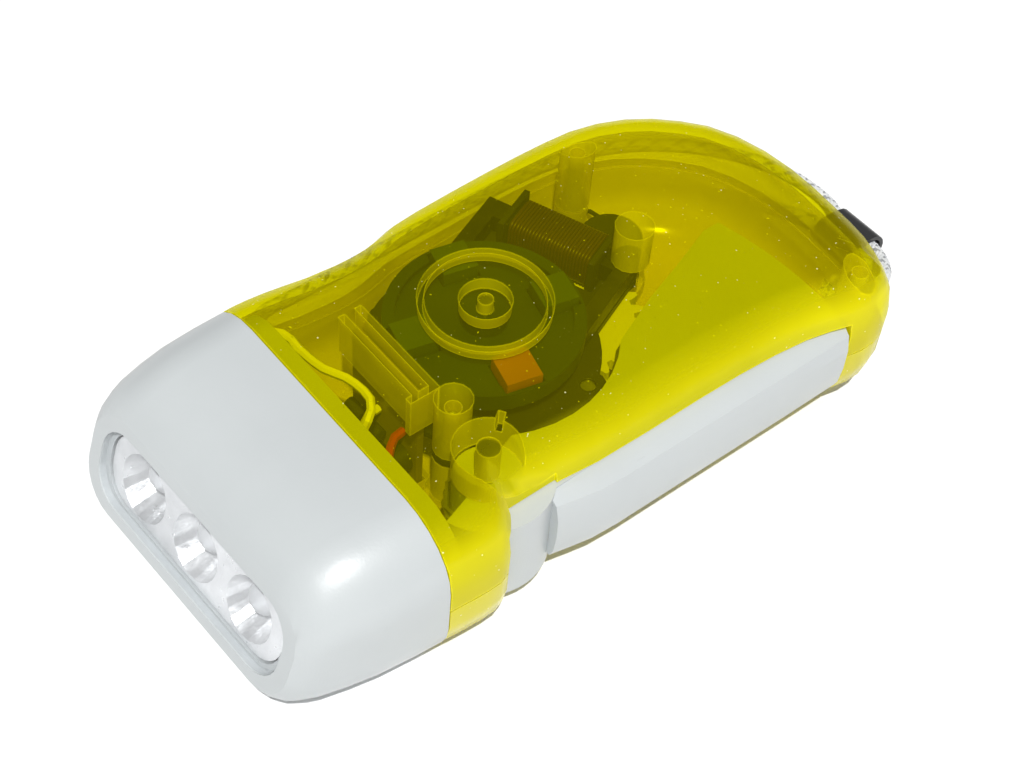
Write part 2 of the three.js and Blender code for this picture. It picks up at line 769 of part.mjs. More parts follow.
part("lamp_board", headLoft(
  headRing(lampBoardBack, lampBoardHalfWidth, lampBoardHalfHeight, boardThickness),
  headRing(lampBoardFront, lampBoardHalfWidth, lampBoardHalfHeight, boardThickness),
), looks.board);

// Rectifier

part("rectifier_board", block(rectifierLeft, rectifierRight, rectifierY,
  rectifierY + rectifierThick, rectifierLow, rectifierHigh), looks.board);

function diode(x, z) {
  const round = new THREE.CylinderGeometry(diodeRadius, diodeRadius, diodeLength, smallSides);
  round.rotateZ(radians(quarterTurn));
  round.translate(x, rectifierY - gap - diodeRadius, z);
  return solid(round);
}
for (let row = 0; row < diodeRows; row += 1) {
  for (let column = 0; column < diodeColumns; column += 1) {
    const x = rectifierLeft + diodeInset + column * diodeSpacing;
    const z = rectifierLow + diodeInset + row * diodePitch;
    part(`diode_${row * diodeColumns + column + 1}`, diode(x, z), looks.black);
  }
}
part("capacitor", roundAlongY(rectifierRight - capacitorRadius - gap, rectifierLow + diodeInset + capacitorRadius,
  rectifierY - gap - capacitorLength, capacitorRadius, rectifierY - gap, capacitorRadius), looks.black);

// Gears

const involute = (angle) => Math.tan(angle) - angle;

// One tooth's points about a centre angle, from one root to the other, as [distance, angle].
function tooth(radius, centre) {
  const base = radius * Math.cos(radians(pressureAngle));
  const half = (Math.PI * toothModule - backlash) / (4 * radius);
  const root = radius - dedendum;
  const distances = [...new Set([root, Math.max(root, base), radius, radius + addendum])];
  const flank = distances.map((distance) => {
    const slope = Math.acos(Math.min(1, base / distance));
    return [distance, half + involute(radians(pressureAngle)) - involute(slope)];
  });
  return [
    ...flank.map(([distance, angle]) => [distance, centre - angle]),
    ...flank.reverse().map(([distance, angle]) => [distance, centre + angle]),
  ];
}

const around = ([x, y]) => ([distance, angle]) =>
  [x + distance * Math.cos(angle), y + distance * Math.sin(angle)];

// A gear with a tooth towards a direction, or with a gap there.
function gear(at, teeth, facing, low, high, faceGap) {
  const step = fullTurn / teeth;
  const start = radians(facing) + (faceGap ? step / 2 : 0);
  const points = [];
  for (let i = 0; i < teeth; i += 1) points.push(...tooth(pitchRadius(teeth), start + i * step));
  return slab(points.map(around(at)), low, high);
}

const leverToFirst = leverDirection + halfTurn;
const firstToSecond = firstDirection + halfTurn;
const secondToFlywheel = secondDirection + halfTurn;
const axleBore = (at, low, high) => drum(at, axleRadius + pinFit, low - overcut, high + overcut, smallSides);

part("first_gear", cut(
  join(
    gear(firstAt, firstWheelTeeth, firstToSecond, firstWheelLow, firstWheelHigh, false),
    drum(firstAt, hubRadius, firstWheelLow, firstPinionLow, smallSides),
    gear(firstAt, firstPinionTeeth, leverDirection, firstPinionLow, firstPinionHigh, true),
  ),
  axleBore(firstAt, firstWheelLow, firstPinionHigh),
), looks.nylon);

part("second_gear", cut(
  join(
    gear(secondAt, secondPinionTeeth, firstDirection, firstWheelLow, firstWheelHigh, true),
    drum(secondAt, hubRadius, firstWheelLow, secondWheelLow, smallSides),
    gear(secondAt, secondWheelTeeth, secondToFlywheel, secondWheelLow, secondWheelHigh, false),
  ),
  axleBore(secondAt, firstWheelLow, secondWheelHigh),
), looks.nylon);

part("first_axle", drum(firstAt, axleRadius, wall / 2 + gap, plateHigh - gap, smallSides), looks.steel);
part("second_axle", drum(secondAt, axleRadius, wall / 2 + gap, plateHigh - gap, smallSides), looks.steel);

// Saw teeth of the one-way clutch.
function clutchWheel() {
  const points = [];
  for (let i = 0; i < clutchTeeth; i += 1) {
    const angle = (fullTurn * i) / clutchTeeth;
    points.push([clutchRadius - clutchDepth, angle], [clutchRadius, angle]);
  }
  return slab(points.map(around(flywheelAt)), clutchLow, clutchHigh);
}

part("drive_pinion", cut(
  join(
    gear(flywheelAt, flywheelTeeth, secondDirection, secondWheelLow, secondWheelHigh, true),
    drum(flywheelAt, sleeveRadius, secondWheelLow, clutchHigh, smallSides),
    clutchWheel(),
  ),
  axleBore(flywheelAt, secondWheelLow, clutchHigh),
), looks.nylon);

// Flywheel and what turns with it

part("flywheel_shaft", drum(flywheelAt, axleRadius, shaftSeat - shaftDepth, roof - gap, smallSides), looks.steel);

const pawlRadius = magnetBore - gap;
const fingerInner = clutchRadius + gap;
part("clutch_pawl", cut(
  join(
    drum(flywheelAt, pawlRadius, clutchHigh + gap, magnetHigh),
    ...[weightTurn, weightTurn + halfTurn].map((degrees) => turnedBlock(
      polar(...flywheelAt, degrees, (fingerInner + pawlRadius) / 2), degrees,
      pawlRadius - fingerInner, pawlFinger, clutchLow + gap, magnetHigh - gap)),
  ),
  axleBore(flywheelAt, clutchLow, magnetHigh),
), looks.black);

part("ring_magnet", cut(
  drum(flywheelAt, magnetRadius, magnetLow, magnetHigh),
  drum(flywheelAt, magnetBore, magnetLow - overcut, magnetHigh + overcut),
), looks.darkSteel);

const weightTurns = [0, 1, 2, 3].map((i) => weightTurn + i * quarterTurn);
function flywheel() {
  const rim = flywheelRadius - flywheelRim;
  const profile = [
    [0, flywheelLow], [flywheelRadius, flywheelLow], [flywheelRadius, flywheelTop], [rim, flywheelTop],
    [rim, dishTop], [flywheelHub, dishTop], [flywheelHub, bearingLow - gap], [0, bearingLow - gap],
  ];
  const pockets = weightTurns.map((degrees) => turnedBlock(
    polar(...flywheelAt, degrees, weightCentre), degrees,
    weightRadial + 2 * gap, weightWidth + 2 * gap, weightLow - gap, flywheelTop + overcut));
  return cut(turned(flywheelAt, profile, 2 * roundSides), axleBore(flywheelAt, flywheelLow, bearingLow), ...pockets);
}
part("flywheel", flywheel(), looks.black);
weightTurns.forEach((degrees, i) => part(`balance_weight_${i + 1}`, turnedBlock(
  polar(...flywheelAt, degrees, weightCentre), degrees,
  weightRadial, weightWidth, weightLow, weightLow + weightHeight,
), i === 0 ? looks.orange : looks.steel));

// Stator, in its own directions: out from the flywheel's axis to the coil, and square to that

const stator = (out, side) => {
  const angle = radians(statorDirection);
  return [
    flywheelX + out * Math.cos(angle) + side * Math.sin(angle),
    flywheelY + out * Math.sin(angle) - side * Math.cos(angle),
  ];
};
const statorBlock = ([out0, out1], [side0, side1], [low, high]) =>
  turnedBlock(stator((out0 + out1) / 2, (side0 + side1) / 2), statorDirection,
    out1 - out0, side1 - side0, low, high);
const spread = ([low, high], by) => [low - by, high + by];
const bothSides = (half) => [-half, half];

const poleRadius = magnetRadius + poleGap;
const coreHalf = poleRadius + coreWidth;
const coreLow = magnetLow + (magnetHeight - coreHeight) / 2;
const coreZ = [coreLow, coreLow + coreHeight];
const coreLeg = [coreBack - coreLegWidth, coreBack];
const bobbinHalf = bobbinLength / 2;

part("stator_core", cut(
  join(
    statorBlock([0, coreBack], bothSides(coreHalf), coreZ),
    drum(flywheelAt, coreHalf, ...coreZ, 2 * roundSides),
  ),
  drum(flywheelAt, poleRadius, ...spread(coreZ, overcut), 2 * roundSides),
  statorBlock([0, coreLeg[0]], bothSides(poleRadius), spread(coreZ, overcut)),
  statorBlock([-2 * coreHalf, -poleMouth], bothSides(2 * coreHalf), spread(coreZ, overcut)),
), looks.darkSteel);

const sleeveOut = spread(coreLeg, gap + bobbinWall);
const sleeveZ = spread(coreZ, gap + bobbinWall);
const flangeOut = spread(sleeveOut, flangeProud);
const flangeZ = spread(sleeveZ, flangeRise);
part("coil_bobbin", cut(
  join(
    statorBlock(sleeveOut, bothSides(bobbinHalf), sleeveZ),
    statorBlock(flangeOut, [-bobbinHalf, bobbinFlange - bobbinHalf], flangeZ),
    statorBlock(flangeOut, [bobbinHalf - bobbinFlange, bobbinHalf], flangeZ),
  ),
  statorBlock(spread(coreLeg, gap), bothSides(bobbinHalf + overcut), spread(coreZ, gap)),
), looks.black);

// The least gap between a coil's turns, from the points along its middle line.
function leastGap(points, perTurn, radius) {
  const path = points.map((point) => new THREE.Vector3(...point));
  let least = Infinity;
  for (let i = 0; i < path.length; i += 1) {
    for (let j = i + Math.round(perTurn / 2); j < path.length; j += 1) {
      least = Math.min(least, path[i].distanceTo(path[j]) - 2 * radius);
    }
  }
  return least;
}

// A closed skin round a coil's middle line. The axis is the direction that the turns advance in.
function coil(points, radius, sides, axis) {
  const path = points.map((point) => new THREE.Vector3(...point));
  const unit = Array.from({ length: sides }, (_, k) =>
    new THREE.Vector2(Math.cos((fullTurn * k) / sides), Math.sin((fullTurn * k) / sides)));
  const rings = path.map((point, i) => {
    const ahead = path[Math.min(i + 1, path.length - 1)];
    const along = ahead.clone().sub(path[Math.max(i - 1, 0)]).normalize();
    const side = new THREE.Vector3().crossVectors(axis, along).normalize();
    const up = new THREE.Vector3().crossVectors(along, side);
    return unit.map(({ x, y }) => point.clone().addScaledVector(side, radius * x).addScaledVector(up, radius * y));
  });
  return loft(rings, (_, k) => unit[k]);
}

// The winding: one wire round the bobbin in a single open layer, with rounded corners.
function windingPath() {
  const off = wireRadius + gap;
  const [out0, out1] = spread(sleeveOut, off);
  const [low, high] = spread(sleeveZ, off);
  const corner = off;
  const loop = [];
  for (const [out, z, quarter] of [[out1, high, 0], [out0, high, 1], [out0, low, 2], [out1, low, 3]]) {
    for (let i = 0; i <= loopSteps / 4; i += 1) {
      const angle = radians(quarterTurn) * (quarter + i / (loopSteps / 4));
      const inX = out - Math.sign(out - (out0 + out1) / 2) * corner;
      const inZ = z - Math.sign(z - (low + high) / 2) * corner;
      loop.push([inX + corner * Math.cos(angle), inZ + corner * Math.sin(angle)]);
    }
  }
  const points = [];
  for (let i = 0; i <= windingTurns * loop.length; i += 1) {
    const [out, z] = loop[i % loop.length];
    points.push([...stator(out, windingPitch * (i / loop.length - windingTurns / 2)), z]);
  }
  return { points, perTurn: loop.length };
}
const wound = windingPath();
console.log("coil_winding: least gap to itself", leastGap(wound.points, wound.perTurn, wireRadius).toFixed(2), "mm");
part("coil_winding", coil(wound.points, wireRadius, loopSides,
  new THREE.Vector3(...stator(0, 1), 0).sub(new THREE.Vector3(...flywheelAt, 0))), looks.copper);

// Gear plate

function gearPlate() {
  const z = [plateLow, plateHigh];
  const ears = [headScrewAt, firstAt, ...platePosts].map((place) => drum(place, earRadius, ...z, smallSides));
  return cut(
    join(
      drum(flywheelAt, plateRadius, ...z, 2 * roundSides),
      statorBlock([0, coreBack], bothSides(coreHalf), z),
      ...ears,
    ),
    statorBlock([flangeOut[0] - gap, 2 * coreBack], bothSides(bobbinHalf + gap), spread(z, overcut)),
    drum(flywheelAt, sleeveRadius + gap, ...spread(z, overcut)),
    block(rectifierLeft - gap, rectifierRight + gap, rectifierY - plateRadius,
      rectifierY + rectifierThick + gap, ...spread(z, overcut)),
    drum(headScrewAt, screwRadius + screwFit, ...spread(z, overcut), smallSides),
    axleBore(firstAt, ...z),
    axleBore(secondAt, ...z),
  );
}
part("gear_plate", gearPlate(), looks.black);

// Screws from below, with a cross recess

function shellScrew([x, y]) {
  const top = headSeat - gap;
  const low = top - screwHeadHeight;
  const recess = (halfX, halfY) =>
    block(x - halfX, x + halfX, y - halfY, y + halfY, low - overcut, low + screwHeadHeight / 2);
  const long = screwHeadRadius * (2 / 3);
  return cut(
    join(
      drum([x, y], screwHeadRadius, low, top, smallSides),
      drum([x, y], screwRadius, top - gap, top + screwLength, smallSides),
    ),
    recess(long, long / 4),
    recess(long / 4, long),
  );
}
screwPlaces.forEach((place, i) => part(`shell_screw_${i + 1}`, shellScrew(place), looks.steel));

// Lever

const springTop = springLow + springTurns * springPitch;
const springRoom = springRadius + springWire + gap;

function sectorGear() {
  const radius = pitchRadius(sectorTeeth);
  const points = [[0, radians(leverToFirst)]];
  for (let i = -sectorBack; i <= sectorAhead; i += 1) {
    points.push(...tooth(radius, radians(leverToFirst) + (fullTurn * i) / sectorTeeth));
  }
  return slab(points.map(around(pivotAt)), firstPinionLow + pinFit, firstPinionHigh - pinFit);
}

// The top plate, from the hub along the flywheel's curve to the tail.
function leverWeb() {
  const points = [polar(...pivotAt, webTurn, barrelRadius)];
  for (let i = 0; i <= arcSteps; i += 1) {
    points.push(polar(...flywheelAt, webArcFrom + ((webArcTo - webArcFrom) * i) / arcSteps, webClear));
  }
  points.push(...webEdgeShares.map(spot), [gripInner, spot(webEdgeShares.at(-1))[1]], [gripInner, gripStart]);
  points.push(polar(...pivotAt, hubBlockTo, hubBlockRadius), pivotAt);
  return slab(points.reverse(), leverTop - webThickness, leverTop);
}

// The grip: one section drawn along the lever, its outer line drawn in towards the hub.
function leverGrip() {
  const length = leverReach + pivotAt[1] - gripStart;
  const form = (inward, low, high, over) => headLoft(...gripLineShares.map(([along, shift], i) => {
    const y = gripStart + along * length - (i === gripLineShares.length - 1 ? over : 0);
    return gripSectionShares.map(([x, z]) => new THREE.Vector3(
      gripInner + x * (gripDepth - inward) + shift * gripDepth - (x < 0 ? over : 0), y, low + z * (high - low)));
  }));
  return cut(
    form(0, leverLow, leverTop, 0),
    form(gripWall, leverLow - overcut, leverTop - webThickness, overcut),
  );
}

function squeezeLever() {
  const reach = drum(pivotAt, leverReach, 0, thickness, 4 * roundSides);
  const hub = cut(
    wedge(pivotAt, hubBlockRadius, hubBlockFrom, hubBlockTo, hubBlockLow, leverTop),
    drum(pivotAt, springRoom, springLow - springWire - gap, springTop + springWire + gap),
  );
  const ribs = Array.from({ length: ribCount }, (_, i) => {
    const y = gripStart + (i + 1) * ribPitch;
    return block(openingInner, halfWidth - gripWall, y, y + ribThickness, ribLow, leverTop - webThickness / 2);
  });
  return cut(
    join(
      join(leverWeb(), leverGrip(), ...ribs).intersect(reach),
      hub,
      drum(pivotAt, barrelRadius, hubBlockLow, leverTop),
      sectorGear(),
      block(catchX, catchX + catchWidth, catchY, catchY + catchLength, catchLow, leverTop - webThickness / 2),
    ),
    drum(pivotAt, pinRadius + pinFit, hubBlockLow - overcut, leverTop + overcut, smallSides),
  );
}
part("squeeze_lever", squeezeLever(), looks.grey);

part("lever_pin", drum(pivotAt, pinRadius, wall + gap, roof - gap, smallSides), looks.steel);

// The return spring: a straight leg, the turns, and a foot bent out along the lever's hub block.
function springPath() {
  const points = [];
  const steps = Math.round(springTurns * curlSteps);
  const [x, y] = polar(...pivotAt, springStart, springRadius);
  points.push([x, y + springLeg, springLow]);
  for (let i = 0; i <= steps; i += 1) {
    const share = i / steps;
    points.push([...polar(...pivotAt, springStart + 2 * halfTurn * springTurns * share, springRadius),
      springLow + springTurns * springPitch * share]);
  }
  points.push([...polar(...pivotAt, springStart + 2 * halfTurn * springTurns, springRadius + springFoot), springTop]);
  return points;
}
const sprung = springPath();
console.log("lever_spring: least gap to itself",
  leastGap(sprung, curlSteps, springWire).toFixed(2), "mm");
part("lever_spring", coil(sprung, springWire, curlSides, new THREE.Vector3(0, 0, 1)), looks.steel);

// Latch

function leverLatch() {
  const flangeLow = wall + gap;
  const plate = (grow, low, high) => block(
    latchX - latchWidth / 2 - grow, latchX + latchWidth / 2 + grow,
    latchY - latchLength / 2 - grow, latchY + latchLength / 2 + grow, low, high);
  const pinX = catchX + catchWidth + 2 * gap;
  const pinY = pivotAt[1] + leverReach + 2 * gap;
  return join(
    plate(0, latchInset, flangeLow + latchPlate / 2),
    plate(latchFlange, flangeLow, flangeLow + latchPlate),
    block(pinX, pinX + latchPinWidth, pinY, pinY + latchPinLength, flangeLow + latchPlate / 2, latchPinHigh),
  );
}
part("lever_latch", leverLatch(), looks.grey);

// Storage cell

part("storage_cell", drum(cellAt, cellRadius, cellLow, cellLow + cellHeight), looks.black);

// Leads

// Routes from the flywheel's axis
const leads = {
  white_lead: [leadRadius, looks.whiteWire, [
    [-11.8, -36.05, 14], [-11.8, -32.6, 14.3], [-13.3, -27.1, 16.4], [-15.4, -22.7, 17.9], [-13.4, -21, 18.2],
    [-10.5, -20.9, 18], [-6.1, -20.2, 18], [-3.7, -18.9, 18], [-0.3, -18.3, 18], [1.8, -18.8, 18],
    [3.2, -20.7, 17], [2.6, -21.3, 14.5], [0.8, -19.4, 12.6], [-0.8, -17.5, 12.2], [-1, -15.7, 12.2],
  ]],
  red_lead: [leadRadius, looks.redWire, [
    [8.2, -36.05, 8], [8.2, -32.1, 8.2], [8.4, -26.1, 9.4], [8, -22.6, 11.6], [6.4, -19.6, 12.8], [4.6, -17.7, 13],
    [4.2, -15.7, 13],
  ]],
  coil_lead_1: [thinLeadRadius, looks.copper, [
    [-13.7, 15.05, 12.4], [-13.9, 14.75, 11.4], [-15, 12.85, 10.5], [-16.6, 8.85, 10.3], [-16.8, 3.85, 10.3],
    [-16, -2.15, 10.3], [-14.6, -7.65, 10.3], [-11.5, -10.75, 10.3], [-7, -11.35, 10.3], [-5.4, -12.35, 10.3],
    [-5.3, -14.05, 10.3],
  ]],
  coil_lead_2: [thinLeadRadius, looks.copper, [
    [-12.9, 16.75, 12.4], [-13.2, 16.15, 11], [-15.3, 12.65, 9], [-16.7, 8.85, 8.6], [-16.9, 3.85, 8.6],
    [-16, -2.15, 8.6], [-14.4, -7.55, 8.6], [-11, -10.35, 8.6], [-5, -10.75, 8.6], [-3, -11.95, 8.6],
    [-2.9, -14.05, 8.6],
  ]],
  cell_lead: [thinLeadRadius, looks.black, [
    [-10.07, 31.42, 7], [-11.4, 32.5, 7], [-13.6, 32.6, 7], [-15.8, 31.75, 7], [-17.2, 29.75, 7], [-17.8, 26.35, 7],
    [-17.8, 20.85, 7], [-17.5, 13.85, 7], [-16.8, 8.85, 7], [-16.9, 3.85, 7], [-16, -2.15, 7], [-14.4, -7.55, 7], [-11, -10.35, 7],
    [-5, -10.75, 7], [-1.4, -11.85, 7], [-0.9, -14.05, 7],
  ]],
};
for (const [name, [radius, material, points]] of Object.entries(leads)) {
  const thin = radius === thinLeadRadius;
  const steps = Math.round(points.length * (thin ? thinLeadSteps : leadSteps));
  part(name, tube(points.map(fromFlywheel), radius, steps, thin ? thinLeadSides : leadSides), material);
}

// Wrist strap: both strands start at the anchor inside the tail, pass the sleeve and meet in a loop.
const strandStart = anchorY + gap;
const cordRoute = [
  [14.75, strandStart, 7.5], [14.8, 48.5, 7.5], [14.9, 51.5, 7.45], [14.9, 54, 7.3], [14.3, 57, 6.5],
  [12.2, 59.7, 5.2], [9.4, 61.8, 3.9], [6.8, 62.9, 3.1], [3.6, 63.4, 2.5], [0.2, 63.6, 2.1], [-1.7, 64.75, 1.75],
  [-4.2, 65.6, 1.35], [-7.2, 65.75, 1.15], [-10.8, 65.35, 1.05], [-15.1, 64, 1.05], [-19.8, 61.4, 1.05],
  [-24.4, 57.6, 1.05], [-28.3, 53, 1.05], [-31.4, 48, 1.05], [-33.6, 42.2, 1.05], [-34.9, 35.4, 1.05],
  [-35.3, 28, 1.05], [-35.3, 18, 1.05], [-35.2, 8, 1.05], [-35.1, -2, 1.05], [-35.1, -9, 1.05], [-35.1, -14, 1.05],
  [-33.9, -16.8, 1.05], [-31.1, -18, 1.05], [-28.3, -16.8, 1.05], [-27.1, -14, 1.05], [-27.1, -9, 1.05],
  [-27.1, 0, 1.05], [-27.1, 12, 1.05], [-27.1, 23, 1.05], [-26.6, 31, 1.05], [-25.2, 38, 1.05], [-22.4, 44.5, 1.05],
  [-18.3, 50, 1.05], [-13.2, 54.8, 1.1], [-7.5, 58.5, 1.3], [-3, 60.3, 1.7], [0.2, 60.95, 2.15], [3.4, 60.65, 2.6],
  [6.5, 60.3, 3.05], [8.4, 59.7, 3.7], [10.1, 58.2, 5.2], [11.6, 56, 6.6], [12.1, 54, 7.3], [12.05, 51.5, 7.45],
  [12.05, 48.5, 7.5], [12.05, strandStart, 7.5],
];
part("wrist_cord", tube(cordRoute, cordRadius, cordSteps), looks.cord);

// An outline with round ends about its own middle.
function roundEnded(reach, radius) {
  const points = [];
  for (const [end, from] of [[1, -quarterTurn], [-1, quarterTurn]]) {
    for (let i = 0; i <= arcSteps; i += 1) {
      points.push(new THREE.Vector2(...polar(end * reach, 0, from + (halfTurn * i) / arcSteps, radius)));
    }
  }
  return points;
}

// The sleeve that holds both strands together.
function strapSleeve() {
  const [from, to] = sleeveEnds.map((end) => new THREE.Vector3(...end));
  const along = to.clone().sub(from).normalize();
  const side = new THREE.Vector3(0, 0, 1).cross(along).normalize();
  const up = new THREE.Vector3().crossVectors(along, side);
  const reach = cordSpacing / 2;
  const shape = new THREE.Shape(roundEnded(reach, cordRadius + sleeveRoom + sleeveWall));
  shape.holes.push(new THREE.Path(roundEnded(reach, cordRadius + sleeveRoom)));
  const tubeBody = new THREE.ExtrudeGeometry(shape, { depth: from.distanceTo(to), bevelEnabled: false });
  tubeBody.applyMatrix4(new THREE.Matrix4().makeBasis(side, up, along).setPosition(from));
  return solid(tubeBody);
}
part("strap_sleeve", strapSleeve(), looks.black);

export default torch;
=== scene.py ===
"""Squeeze lever dynamo torch in a clear yellow casing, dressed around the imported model."""

import json
import math

import bpy
from mathutils import Matrix, Vector
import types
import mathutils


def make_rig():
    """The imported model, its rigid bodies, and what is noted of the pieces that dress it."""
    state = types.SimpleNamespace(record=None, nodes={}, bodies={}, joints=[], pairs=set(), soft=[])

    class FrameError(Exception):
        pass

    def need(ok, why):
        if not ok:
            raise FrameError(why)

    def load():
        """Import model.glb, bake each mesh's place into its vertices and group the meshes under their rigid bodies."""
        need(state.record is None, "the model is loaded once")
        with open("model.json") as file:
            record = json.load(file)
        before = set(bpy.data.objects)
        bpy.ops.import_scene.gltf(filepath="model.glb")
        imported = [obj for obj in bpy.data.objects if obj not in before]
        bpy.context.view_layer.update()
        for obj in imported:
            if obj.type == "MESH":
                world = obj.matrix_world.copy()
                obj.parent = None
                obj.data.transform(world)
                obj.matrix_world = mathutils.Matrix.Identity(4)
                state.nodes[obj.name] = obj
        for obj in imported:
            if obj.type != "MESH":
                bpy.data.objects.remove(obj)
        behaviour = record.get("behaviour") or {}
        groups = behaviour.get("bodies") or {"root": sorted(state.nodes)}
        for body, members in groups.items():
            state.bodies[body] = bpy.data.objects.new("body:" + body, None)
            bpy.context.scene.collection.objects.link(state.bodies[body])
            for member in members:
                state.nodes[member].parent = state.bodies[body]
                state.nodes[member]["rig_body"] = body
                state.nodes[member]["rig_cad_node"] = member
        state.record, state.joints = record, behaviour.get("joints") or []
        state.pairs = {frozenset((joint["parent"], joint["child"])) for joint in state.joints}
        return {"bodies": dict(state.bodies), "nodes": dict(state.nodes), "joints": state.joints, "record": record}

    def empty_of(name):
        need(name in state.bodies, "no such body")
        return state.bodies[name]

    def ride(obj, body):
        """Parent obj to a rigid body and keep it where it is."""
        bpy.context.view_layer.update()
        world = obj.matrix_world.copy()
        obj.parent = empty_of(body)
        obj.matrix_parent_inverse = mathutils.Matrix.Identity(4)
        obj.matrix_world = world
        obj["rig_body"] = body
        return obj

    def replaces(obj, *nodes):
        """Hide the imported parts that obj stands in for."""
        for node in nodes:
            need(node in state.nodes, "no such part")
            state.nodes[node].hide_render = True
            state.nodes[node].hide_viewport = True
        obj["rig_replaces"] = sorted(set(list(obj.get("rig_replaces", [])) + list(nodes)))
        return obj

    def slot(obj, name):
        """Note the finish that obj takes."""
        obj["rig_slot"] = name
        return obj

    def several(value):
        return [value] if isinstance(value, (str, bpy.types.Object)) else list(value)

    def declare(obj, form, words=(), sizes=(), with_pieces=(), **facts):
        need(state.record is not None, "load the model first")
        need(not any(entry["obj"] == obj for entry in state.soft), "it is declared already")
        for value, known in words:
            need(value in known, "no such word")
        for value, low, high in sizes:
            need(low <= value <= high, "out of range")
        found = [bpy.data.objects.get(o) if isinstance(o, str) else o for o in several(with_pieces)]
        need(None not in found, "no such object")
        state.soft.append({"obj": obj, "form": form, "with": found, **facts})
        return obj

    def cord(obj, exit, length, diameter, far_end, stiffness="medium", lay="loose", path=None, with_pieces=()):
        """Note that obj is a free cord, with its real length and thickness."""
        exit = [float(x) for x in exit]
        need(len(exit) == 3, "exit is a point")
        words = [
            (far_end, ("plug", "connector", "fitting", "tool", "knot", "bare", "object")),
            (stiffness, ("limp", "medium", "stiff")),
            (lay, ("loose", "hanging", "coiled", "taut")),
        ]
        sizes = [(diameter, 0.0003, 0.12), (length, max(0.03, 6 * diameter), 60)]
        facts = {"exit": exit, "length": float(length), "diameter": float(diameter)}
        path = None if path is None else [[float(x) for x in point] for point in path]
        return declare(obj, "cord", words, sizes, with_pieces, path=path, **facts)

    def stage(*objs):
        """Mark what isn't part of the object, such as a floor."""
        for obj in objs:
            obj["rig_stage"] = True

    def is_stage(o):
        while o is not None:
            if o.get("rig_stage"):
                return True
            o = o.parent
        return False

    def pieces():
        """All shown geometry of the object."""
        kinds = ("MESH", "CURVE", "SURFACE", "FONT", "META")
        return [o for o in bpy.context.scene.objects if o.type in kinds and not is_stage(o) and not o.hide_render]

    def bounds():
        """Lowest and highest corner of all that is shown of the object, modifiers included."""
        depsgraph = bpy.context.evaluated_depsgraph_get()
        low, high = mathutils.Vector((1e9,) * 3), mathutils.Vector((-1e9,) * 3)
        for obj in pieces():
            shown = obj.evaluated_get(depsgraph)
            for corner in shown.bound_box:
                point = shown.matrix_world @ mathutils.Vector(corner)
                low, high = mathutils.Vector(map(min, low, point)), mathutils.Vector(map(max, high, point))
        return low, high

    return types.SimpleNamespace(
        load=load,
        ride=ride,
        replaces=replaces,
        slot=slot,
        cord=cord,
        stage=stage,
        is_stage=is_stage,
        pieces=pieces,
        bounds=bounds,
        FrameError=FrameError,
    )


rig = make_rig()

MM = 0.001

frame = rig.load()
nodes = frame["nodes"]
cad_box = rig.bounds()

# Camera

CAMERA_AT = Vector((110.816, -102.0883, 196.175)) * MM
CAMERA_RIGHT = (0.62463, 0.778608, 0.060068)
CAMERA_UP = (-0.63089, 0.457798, 0.626417)
CAMERA_BACK = (0.460234, -0.429175, 0.77717)
FOCAL_LENGTH = 65.04
SENSOR_WIDTH = 36
CLIP_RANGE = (0.005, 20)


def add_camera():
    lens = bpy.data.cameras.new("camera")
    lens.lens = FOCAL_LENGTH
    lens.sensor_width = SENSOR_WIDTH
    lens.clip_start, lens.clip_end = CLIP_RANGE
    camera = bpy.data.objects.new("camera", lens)
    rows = [
        (CAMERA_RIGHT[i], CAMERA_UP[i], CAMERA_BACK[i], CAMERA_AT[i]) for i in range(3)
    ]
    camera.matrix_world = Matrix((*rows, (0, 0, 0, 1)))
    bpy.context.scene.collection.objects.link(camera)
    bpy.context.scene.camera = camera


add_camera()

# Small helpers


def mm(x, y, z):
    return Vector((x, y, z)) * MM


def add_object(name, data):
    obj = bpy.data.objects.new(name, data)
    bpy.context.scene.collection.objects.link(obj)
    return obj


def mesh_object(name, verts, faces, smooth=True):
    mesh = bpy.data.meshes.new(name)
    mesh.from_pydata([tuple(v) for v in verts], [], faces)
    mesh.validate()
    if smooth:
        mesh.shade_smooth()
    return add_object(name, mesh)


CURVE_STEPS = 24


def catmull(points, count):
    """Even steps along the smooth curve through the points, and its length."""
    dense = []
    ends = [points[0] * 2 - points[1], *points, points[-1] * 2 - points[-2]]
    for i in range(1, len(ends) - 2):
        a, b, c, d = ends[i - 1 : i + 3]
        for k in range(CURVE_STEPS):
            t = k / CURVE_STEPS
            dense.append(
                0.5
                * (
                    2 * b
                    + (c - a) * t
                    + (2 * a - 5 * b + 4 * c - d) * t * t
                    + (3 * b - a - 3 * c + d) * t * t * t
                )
            )
    dense.append(points[-1].copy())
    run = [0.0]
    for a, b in zip(dense, dense[1:]):
        run.append(run[-1] + (b - a).length)
    even = []
    k = 0
    for i in range(count + 1):
        want = run[-1] * i / count
        while k < len(dense) - 2 and run[k + 1] < want:
            k += 1
        part = (want - run[k]) / max(run[k + 1] - run[k], 1e-12)
        even.append(dense[k].lerp(dense[k + 1], min(max(part, 0), 1)))
    return even, run[-1]


def frames_along(points):
    """A pair of directions across the line at each point, without twist."""
    found = []
    side = None
    for i, point in enumerate(points):
        ahead = points[min(i + 1, len(points) - 1)] - points[max(i - 1, 0)]
        ahead.normalize()
        if side is None:
            side = ahead.orthogonal().normalized()
        side = (side - ahead * side.dot(ahead)).normalized()
        found.append((side.copy(), ahead.cross(side).normalized()))
    return found


